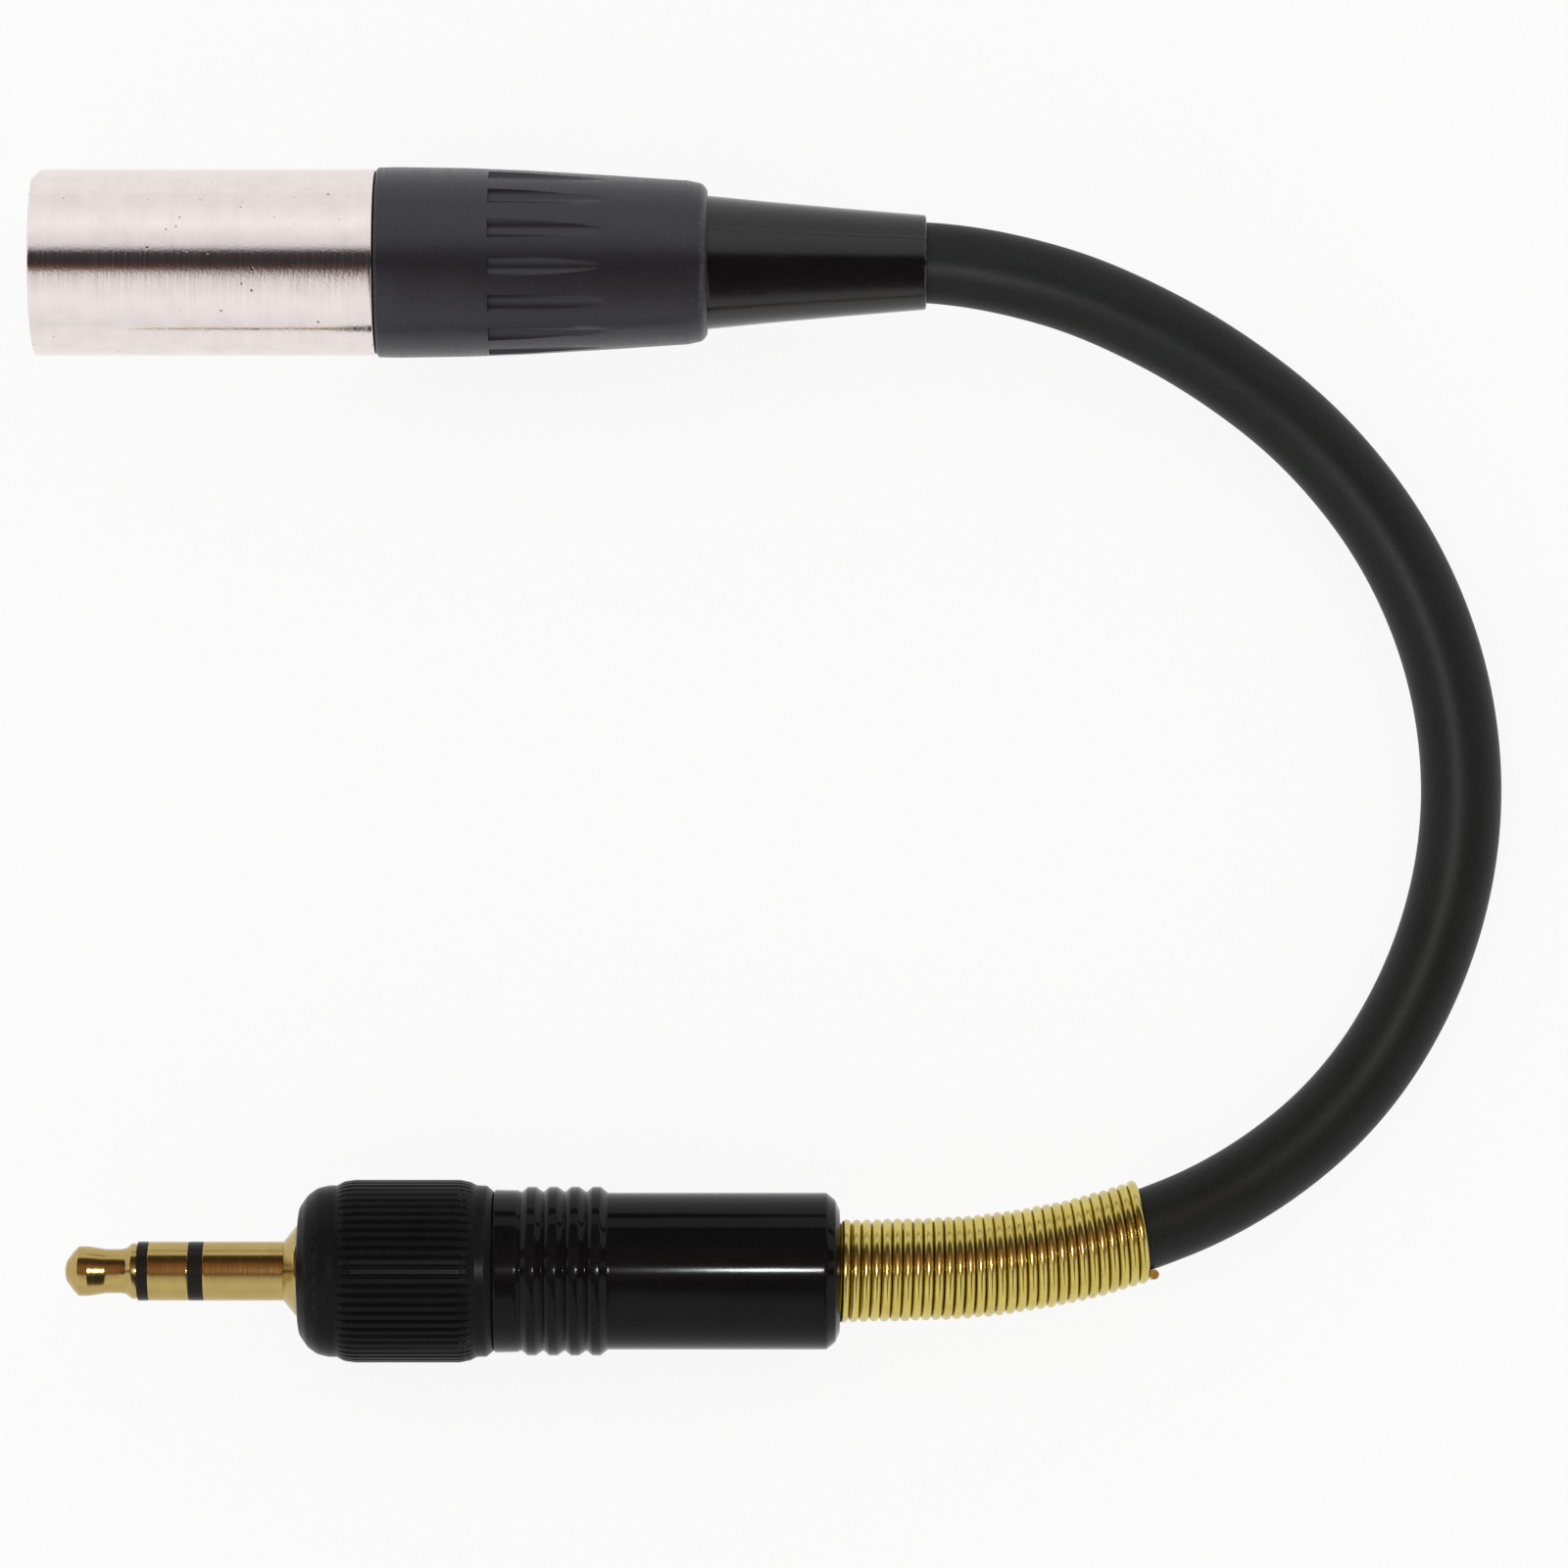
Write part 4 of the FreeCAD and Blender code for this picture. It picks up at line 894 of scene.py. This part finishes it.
@dataclass
class LockingPlug(Connector):
    """The 3.5 mm plug: contacts, bands, knurled locking ring and ribbed barrel."""

    sleeve_radius: float = 1.75
    tip_end: float = 4.30
    ring_start: float = 4.94
    ring_end: float = 7.33
    sleeve_start: float = 8.20
    cone_start: float = 12.97
    flange_start: float = 13.66
    clip_groove: Triple = (21.24, 21.60, 21.96)
    hub_start: float = 25.56
    hub_end: float = 30.02
    sleeve_end: float = 30.62
    lug_end: float = 31.8
    rod_end: float = 33.8
    lock_start: float = 13.84
    lock_end: float = 25.41
    lock_band: float = 5.085
    lock_thread: float = 3.32
    lock_bore: float = 3.08
    knurl_crest: float = 5.405
    knurl_start: float = 16.12
    knurl_end: float = 24.42
    teeth: int = 60
    tooth_depth: float = 0.27
    groove_share: float = 0.265
    groove_curve: float = 1.15
    thread_pitch: float = 0.5
    thread_end: float = 20.0
    thread_root: float = 3.36
    thread_depth: float = 0.24
    barrel_start: float = 25.44
    barrel_end: float = 45.93
    barrel_radius: float = 4.65
    barrel_bore: float = 4.0
    rib_crest: float = 5.01
    rib_valley: float = 4.70
    rib_first: float = 27.07
    rib_pitch: float = 1.28
    ribs: int = 4

    def build(self) -> None:
        """Make and dress every piece."""
        self.make_contacts()
        self.make_locking_ring()
        self.make_ring_thread()
        self.make_barrel()
        self.keep(SPRING_STEEL, "ring_clip")
        self.keep(WASHER_FIBRE, "plug_base_washer", "plug_lug_washer")
        self.keep(GOLD, "plug_ring_lug", "plug_tip_lug", "plug_cable_clamp")
        self.keep(LINER_FILM, "barrel_liner")
        self.keep(JACKET, "plug_cable_end")
        self.keep(CORE_WHITE, "plug_core_1")
        self.keep(CORE_RED, "plug_core_2")
        self.keep(TINNED, "plug_screen_tail")

    def make_contacts(self) -> None:
        """Turn the tip, the ring, the sleeve and the two black bands between them."""
        tip, ring, ring_end, sleeve = self.tip_end, self.ring_start, self.ring_end, self.sleeve_start
        flange, radius, rod, lug = self.flange_start, self.sleeve_radius, self.rod_end, self.lug_end
        contact = Outline([
            (0.0, 0.0), (0.0, 0.34, 0.10), (0.10, 0.64, 0.12), (0.50, 1.18, 0.25),
            (0.80, 1.475, 0.10), (1.36, 1.475, 0.18), (1.86, 1.40, 0.4), (2.40, 1.31, 0.8),
            (3.30, 1.31, 0.5), (3.62, 1.38, 0.25), (3.95, 1.66, 0.10), (tip, 1.63, 0.04),
            (tip, 0.5), (rod - 0.4, 0.5), (rod - 0.4, 0.7, 0.1), (rod, 0.7, 0.1), (rod, 0.0),
        ], closed=False)
        self.add("tip_contact", contact.mesh(), GOLD, ["plug_tip"])
        tubes = [
            ("band_front", "plug_front_insulator", BAND_PLASTIC, tip, ring, lug, 0.5, 0.8),
            ("ring_contact", "plug_ring", GOLD, ring, ring_end, lug, 0.8, 1.05),
            ("band_rear", "plug_rear_insulator", BAND_PLASTIC, ring_end, sleeve, 30.6, 1.05, 1.3),
        ]
        for name, node, finish, start, end, rear, bore, neck in tubes:
            tube = Outline([(start, bore), (start, radius, 0.05), (end, radius, 0.05),
                            (end, neck), (rear, neck), (rear, bore)])
            self.add(name, tube.mesh(), finish, [node])
        journal, groove, groove_end = self.clip_groove
        hub, hub_end, rear = self.hub_start, self.hub_end, self.sleeve_end
        body = Outline([
            (sleeve, 1.3), (sleeve, radius, 0.05), (self.cone_start, radius),
            (self.cone_start + 0.04, 1.86, 0.03), (flange, 2.66, 0.06), (flange + 0.08, 2.7, 0.05),
            (journal, 2.7), (journal, 3.0), (groove, 3.0), (groove, 2.8), (groove_end, 2.8),
            (groove_end, 3.0), (hub, 3.0), (hub, 3.8), (hub_end, 3.8), (hub_end, 2.0),
            (rear, 2.0), (rear, 1.3)])
        self.add("sleeve_contact", body.mesh(), GOLD, ["plug_sleeve"])

    def make_locking_ring(self) -> None:
        """Turn the locking ring and cut its straight knurl."""
        start, end, band, crest = self.lock_start, self.lock_end, self.lock_band, self.knurl_crest
        front, rear, thread, bore = (
            self.knurl_start, self.knurl_end, self.lock_thread, self.lock_bore)
        outline = Outline([
            (start, thread), (start, 3.46, 0.08), (start + 0.06, 3.80, 0.50),
            (start + 0.54, 4.50, 1.0), (start + 1.12, 4.93, 1.0), (start + 1.85, band, 1.0),
            (front, band, 0.06), (front + 0.42, band + 0.23, 0.6), (front + 1.05, crest, 0.6),
            (rear - 1.02, crest, 0.6), (rear - 0.40, band + 0.20, 0.6), (rear, band, 0.10),
            (end - 0.42, band - 0.02, 0.25), (end, band - 0.38, 0.06), (end, bore, 0.08),
            (22.04, bore), (22.04, 3.7), (20.04, 3.7), (20.04, thread)])
        pitch = TAU / self.teeth
        half = self.groove_share * pitch
        valley = crest - self.tooth_depth

        def knurl(x: Grid, r: Grid, angle: Grid) -> tuple[Grid, Grid, Grid]:
            """Cut the grooves, which run out on the bevels."""
            off = np.abs(angle - np.round(angle / pitch) * pitch)
            groove = valley + self.tooth_depth * np.clip(off / half, 0.0, 1.2) ** self.groove_curve
            cut = (r > valley) & (x > front - 0.01) & (x < rear + 0.01)
            return x, np.where(cut, np.minimum(r, np.maximum(groove, band)), r), angle

        # Degrees from the middle of a groove.
        steps = np.array([-2.55, -2.0, -1.59, -1.2, -0.7, -0.25, 0.25, 0.7, 1.2, 1.59, 2.0, 2.55])
        angles = np.concatenate([index * pitch + np.radians(steps) for index in range(self.teeth)])
        cuts = [*np.linspace(front, front + 1.1, 12), *np.linspace(rear - 1.1, rear, 12)]
        mesh = outline.mesh(angles, cuts, knurl, sharp=24.0)
        self.add("ring_knurled", mesh, RING_BLACK, ["locking_ring"], Body.RING)

    def make_ring_thread(self) -> None:
        """Make the thread inside the locking ring: one helical ridge that fades at its ends."""
        start = self.lock_start + 0.5
        turns = (self.thread_end - start) / self.thread_pitch
        count = int(turns * 64)
        share = np.arange(count + 1) / count
        angle = share * turns * TAU
        middle = start + share * (self.thread_end - start)
        fade = np.clip(np.minimum(share, 1 - share) * turns * 2, 0.02, 1.0)
        depth = self.thread_depth
        section = [(-0.21, 0.0), (-0.05, -depth), (0.05, -depth), (0.21, 0.0)]
        rings = []
        for along, rise in section:
            r = self.thread_root + rise * fade
            rings.append(np.stack([middle + along, r * np.sin(angle), r * np.cos(angle)], axis=-1))
        places = np.stack(rings, axis=1).reshape(-1, 3) * MM
        sides = len(section)
        quads = [
            (i * sides + j, i * sides + (j + 1) % sides,
             (i + 1) * sides + (j + 1) % sides, (i + 1) * sides + j)
            for i in range(count) for j in range(sides)]
        quads += [tuple(range(sides)), tuple(range(count * sides, (count + 1) * sides))]
        mesh = bpy.data.meshes.new("thread")
        mesh.from_pydata(places.tolist(), [], quads)
        clean(mesh)
        self.add("ring_thread", mesh, RING_BLACK, body=Body.RING)

    def make_barrel(self) -> None:
        """Turn the barrel with four rounded ribs near its front."""
        start, end, body = self.barrel_start, self.barrel_end, self.barrel_radius
        crest, valley, bore = self.rib_crest, self.rib_valley, self.barrel_bore
        ribs = []
        for index in range(self.ribs):
            foot = self.rib_first + self.rib_pitch * index
            ribs += [(foot, valley, 0.13), (foot + 0.36, crest, 0.22), (foot + 0.84, crest, 0.20)]
        outline = Outline([
            (start, 3.85), (start, 4.83, 0.12), (self.rib_first - 0.25, 4.80, 0.3), *ribs,
            (self.rib_first + self.rib_pitch * self.ribs, body, 0.15), (end - 0.80, body, 0.22),
            (end - 0.27, body - 0.42, 0.30), (end, 3.62, 0.20), (end, 3.2, 0.06),
            (end - 1.5, 3.2), (end - 1.5, 2.5), (end - 3.4, 2.5), (end - 3.9, bore),
            (30.52, bore), (30.52, 3.85)])
        self.add("barrel_ribbed", outline.mesh(even(224)), BARREL_BLACK, ["plug_barrel"])


def new_curve(name: str, kind: str, places: Grid, diameter: float, sides: int) -> bpy.types.Curve:
    """Make a round cord or wire.

    Args:
        name: The curve's name.
        kind: NURBS for a smooth line that the places pull, or POLY for a line through them.
        places: The places, in millimetres.
        diameter: How thick it is.
        sides: How finely it is rounded.

    Returns:
        The curve.
    """
    curve = bpy.data.curves.new(name, "CURVE")
    curve.dimensions = "3D"
    spline = curve.splines.new(kind)
    spline.points.add(len(places) - 1)
    spline.points.foreach_set("co", np.hstack([places * MM, np.ones((len(places), 1))]).ravel())
    spline.order_u = 3
    spline.use_endpoint_u = True
    spline.resolution_u = 24
    curve.bevel_depth = diameter / 2 * MM
    curve.bevel_resolution = sides
    curve.use_fill_caps = True
    return curve


@dataclass
class Lead:
    """The free stretch of cable and the spring round its plug end."""

    diameter: float = 4.8
    length: float = 102.7
    spring_radius: float = 3.05
    spring_wire: float = 0.60
    spring_pitch: float = 0.61
    spring_inside: float = 1.2
    spring_reach: float = 18.75
    free_end: float = 80.0
    spring_lean: float = 0.5
    leaves: Triple = (26.43, 29.80, 5.64)
    route: tuple[Triple, ...] = (
        (25.5, 29.80, 5.64), (27.2, 29.80, 5.64), (31.6, 29.1, 5.6), (36.7, 27.6, 5.25),
        (43.3, 24.3, 4.3), (49.8, 19.4, 3.1), (55.05, 12.6, 2.4), (58.08, 4.6, 2.4),
        (58.66, -3.9, 2.4), (56.6, -12.3, 2.4), (52.1, -19.9, 2.5), (45.3, -25.4, 3.1),
        (37.4, -28.5, 4.3), (30.5, -29.75, 5.0), (25.7, -29.97, 5.36), (21.31, -30.03, 5.41))

    def build(self) -> list[bpy.types.Object]:
        """Returns:
            The cable and the spring.
        """
        curve = new_curve("cable_jacket", "NURBS", np.array(self.route), self.diameter, 18)
        cable = add_object("cable_jacket", curve)
        dress(cable, JACKET, ["cable"])
        spring = self.make_spring()
        return [cable, spring]

    def centreline(self) -> Grid:
        """Read the route's own line, from the barrel towards the boot.

        Returns:
            Points in millimetres.
        """
        curve = new_curve("route_line", "NURBS", np.array(self.route), 0.0, 0)
        line = add_object("route_line", curve)
        mesh = bpy.data.meshes.new_from_object(line)
        points = np.array([vertex.co for vertex in mesh.vertices])[::-1]
        bpy.data.objects.remove(line)
        bpy.data.meshes.remove(mesh)
        return points / MM

    def make_spring(self) -> bpy.types.Object:
        """Wind the wire round the cable, left-handed, from inside the barrel to its free end.

        Returns:
            The spring.
        """
        line = self.centreline()
        gaps = np.linalg.norm(np.diff(line, axis=0), axis=1)
        marks = np.concatenate([[0.0], np.cumsum(gaps)])
        wire = self.spring_wire
        last = self.spring_reach - wire / 2
        per_turn = 44
        count = int((last + self.spring_inside) / self.spring_pitch * per_turn)
        places = np.linspace(-self.spring_inside, last, count + 1)
        centres = np.stack([np.interp(places, marks, line[:, axis]) for axis in range(3)], axis=-1)
        start_heading = (line[1] - line[0]) / gaps[0]
        before = places < 0
        centres[before] = line[0] + places[before, None] * start_heading
        headings = np.gradient(centres, axis=0)
        headings /= np.linalg.norm(headings, axis=1, keepdims=True)
        headings = start_heading + (headings - start_heading) * self.spring_lean
        headings /= np.linalg.norm(headings, axis=1, keepdims=True)
        up = np.array([0.0, 0.0, 1.0]) - headings * headings[:, 2:3]
        up /= np.linalg.norm(up, axis=1, keepdims=True)
        side = np.cross(headings, up)
        angle = math.radians(self.free_end) + TAU * (last - places) / self.spring_pitch
        unevenness = 0.012 * np.sin(places * 2.1 + 0.7) + 0.008 * np.sin(places * 5.3)
        reach = (self.spring_radius - wire / 2 + unevenness)[:, None]
        coil = centres + (up * np.cos(angle)[:, None] + side * np.sin(angle)[:, None]) * reach
        # The wire's cut end stands straight on by most of its thickness.
        nub = coil[-1] + (coil[-1] - coil[-2]) / np.linalg.norm(coil[-1] - coil[-2]) * wire * 0.9
        curve = new_curve("spring_coil", "POLY", np.vstack([coil, nub]), wire, 4)
        spring = add_object("spring_coil", curve)
        dress(spring, SPRING_GOLD, ["strain_relief_spring"])
        return spring


@dataclass
class Studio:
    """The camera, the floor, the sky with its dark strip, a dark card and a small lamp."""

    camera_place: Triple = (18.0, -1.13, 480.0)
    lens: float = 183.64
    sensor: float = 36.0
    floor_half: float = 2000.0
    floor_white: float = 0.88
    floor_glow: float = 1.02
    lamp_place: Triple = (17.2, -17.7, 155.0)
    lamp_radius: float = 2.5
    lamp_power: float = 0.32
    strip_growth: float = 60.0
    card_x: tuple[float, float] = (-120.0, 160.0)
    card_foot: float = 5.0
    card_lean: float = 0.268
    card_z: tuple[float, float] = (18.5, 400.0)
    card_dark_top: float = 38.0

    def place_camera(self) -> None:
        """Look straight down from above the middle of the lead."""
        data = bpy.data.cameras.new("camera")
        data.lens = self.lens
        data.sensor_width = self.sensor
        data.clip_start = 0.01
        data.clip_end = 20.0
        camera = add_object("camera", data)
        camera.location = Vector(self.camera_place) * MM
        bpy.context.scene.camera = camera

    def light(self, lit: Sequence[bpy.types.Object]) -> None:
        """Make the floor, the sky, the card and the lamp.

        Args:
            lit: The pieces that the lamp lights. The small connector isn't among them.
        """
        bpy.context.scene.view_settings.view_transform = "Standard"
        self.make_floor()
        self.make_sky()
        self.make_card()
        data = bpy.data.lights.new("small_lamp", "POINT")
        data.shadow_soft_size = self.lamp_radius * MM
        data.energy = self.lamp_power
        lamp = add_object("small_lamp", data)
        lamp.location = Vector(self.lamp_place) * MM
        receivers = bpy.data.collections.new("lit_by_small_lamp")
        for piece in lit:
            receivers.objects.link(piece)
        lamp.light_linking.receiver_collection = receivers
        lamp.visible_camera = False

    @staticmethod
    def sheet(name: str, places: Sequence[Triple]) -> tuple[bpy.types.Object, Graph]:
        """Put up a flat sheet with four corners and a new material.

        Args:
            name: Its name.
            places: Its corners in order, in millimetres.

        Returns:
            The sheet and its material's graph.
        """
        mesh = bpy.data.meshes.new(name)
        mesh.from_pydata([tuple(c * MM for c in place) for place in places], [], [(0, 1, 2, 3)])
        made, graph = new_material(name)
        mesh.materials.append(made)
        return add_object(name, mesh), graph

    def make_floor(self) -> None:
        """Lay a plain pale floor that keeps a soft shadow.

        It is white to the rays that show it, and matt to those that carry light.
        """
        half = self.floor_half
        floor, graph = self.sheet("floor", [
            (-half, -half, 0.0), (half, -half, 0.0), (half, half, 0.0), (-half, half, 0.0)])
        matt = graph.add("BsdfDiffuse", (0.9, 0.9, 0.9)).outputs[0]
        glow = graph.add("Emission", (1.0, 1.0, 1.0), self.floor_glow).outputs[0]
        path = graph.add("LightPath").outputs
        shown = graph.math("MAXIMUM", path["Is Camera Ray"], path["Is Glossy Ray"])
        shown = graph.math("MAXIMUM", shown, path["Is Transmission Ray"])
        share = graph.math("MULTIPLY", shown, self.floor_white)
        graph.add("OutputMaterial", graph.add("MixShader", share, matt, glow).outputs[0])

    def make_card(self) -> None:
        """Hang a dark card between the connectors: it shows only in what the plug reflects.

        It leans over the plug, so the three-pin connector is behind it, where it is clear.
        """
        (left, right), (low, high) = self.card_x, self.card_z
        near, far = (self.card_foot - height * self.card_lean for height in (low, high))
        card, graph = self.sheet("dark_card", [
            (left, near, low), (right, near, low), (right, far, high), (left, far, high)])
        up = graph.split(graph.add("TexCoord").outputs["Object"])[2]
        top = self.card_dark_top * MM
        height = graph.span(up, top * 0.85, top * 1.3, style="SMOOTHSTEP")
        colour = graph.mix(height, (0.07, 0.045, 0.03), (0.30, 0.145, 0.10))
        glow = graph.add("Emission", colour).outputs[0]
        clear = graph.add("BsdfTransparent").outputs[0]
        behind = graph.add("NewGeometry").outputs["Backfacing"]
        graph.add("OutputMaterial", graph.add("MixShader", behind, glow, clear).outputs[0])
        card.visible_camera = False
        card.visible_diffuse = False
        card.visible_transmission = False
        card.visible_shadow = False

    def make_sky(self) -> None:
        """Light the scene from a bright sky with a dark strip overhead, along X.

        The strip is wider towards +X on its -Y side, and narrow again near the horizon.
        """
        world = bpy.data.worlds.new("studio")
        bpy.context.scene.world = world
        world.use_nodes = True
        graph = Graph(world.node_tree)
        along, side, up = graph.split(graph.add("TexCoord").outputs["Generated"])
        angle = graph.math("MULTIPLY", graph.math("ARCTAN2", side, up), 180 / math.pi)
        growing = graph.span(along, -0.075, 0.18, end=self.strip_growth)
        widen = graph.math("MULTIPLY", growing, graph.span(along, 0.30, 0.55, start=1.0, end=0.0))
        low = graph.math("MINIMUM", graph.math("ADD", graph.math("MINIMUM", angle, 0.0), widen), 0.0)
        bent = graph.math("ADD", low, graph.math("MAXIMUM", angle, 0.0))
        ramp = graph.add("ValToRGB", graph.span(bent, -90.0, 90.0))
        # Degrees from the top, towards +Y where above 0.
        stops: list[tuple[float, Triple]] = [
            (-90.0, (0.88, 0.88, 0.88)),
            (-50.0, (1.02, 1.02, 1.02)),
            (-24.0, (0.90, 0.89, 0.89)),
            (-16.0, (0.78, 0.74, 0.73)),
            (-11.5, (0.22, 0.11, 0.09)),
            (-7.0, (0.06, 0.035, 0.03)),
            (-3.0, (0.035, 0.03, 0.03)),
            (9.5, (0.04, 0.035, 0.038)),
            (14.5, (0.60, 0.59, 0.59)),
            (19.0, (0.84, 0.83, 0.83)),
            (45.0, (1.06, 1.06, 1.06)),
            (72.0, (0.95, 0.94, 0.94)),
            (90.0, (0.93, 0.93, 0.93)),
        ]
        items = ramp.color_ramp.elements
        items.remove(items[0])
        for degrees, colour in stops:
            place = (degrees + 90.0) / 180.0
            item = items.new(place) if place else items[0]
            item.position = place
            item.color = (*colour, 1.0)
        seen = graph.add("LightPath").outputs["Is Camera Ray"]
        sky = graph.add("Background", graph.mix(seen, ramp.outputs[0], (1.0, 1.0, 1.0)))
        graph.add("OutputWorld", sky.outputs[0])


def main() -> None:
    """Build the camera and the lead, then both connectors, then the studio."""
    logging.basicConfig(level=logging.INFO, format="%(message)s")
    studio = Studio()
    studio.place_camera()
    lead = Lead().build()
    SmallConnector(axis_start("xlr_shell")).build()
    plug = LockingPlug(axis_start("plug_tip"))
    plug.build()
    studio.light(lead + plug.pieces)


if __name__ == "__main__":
    main()
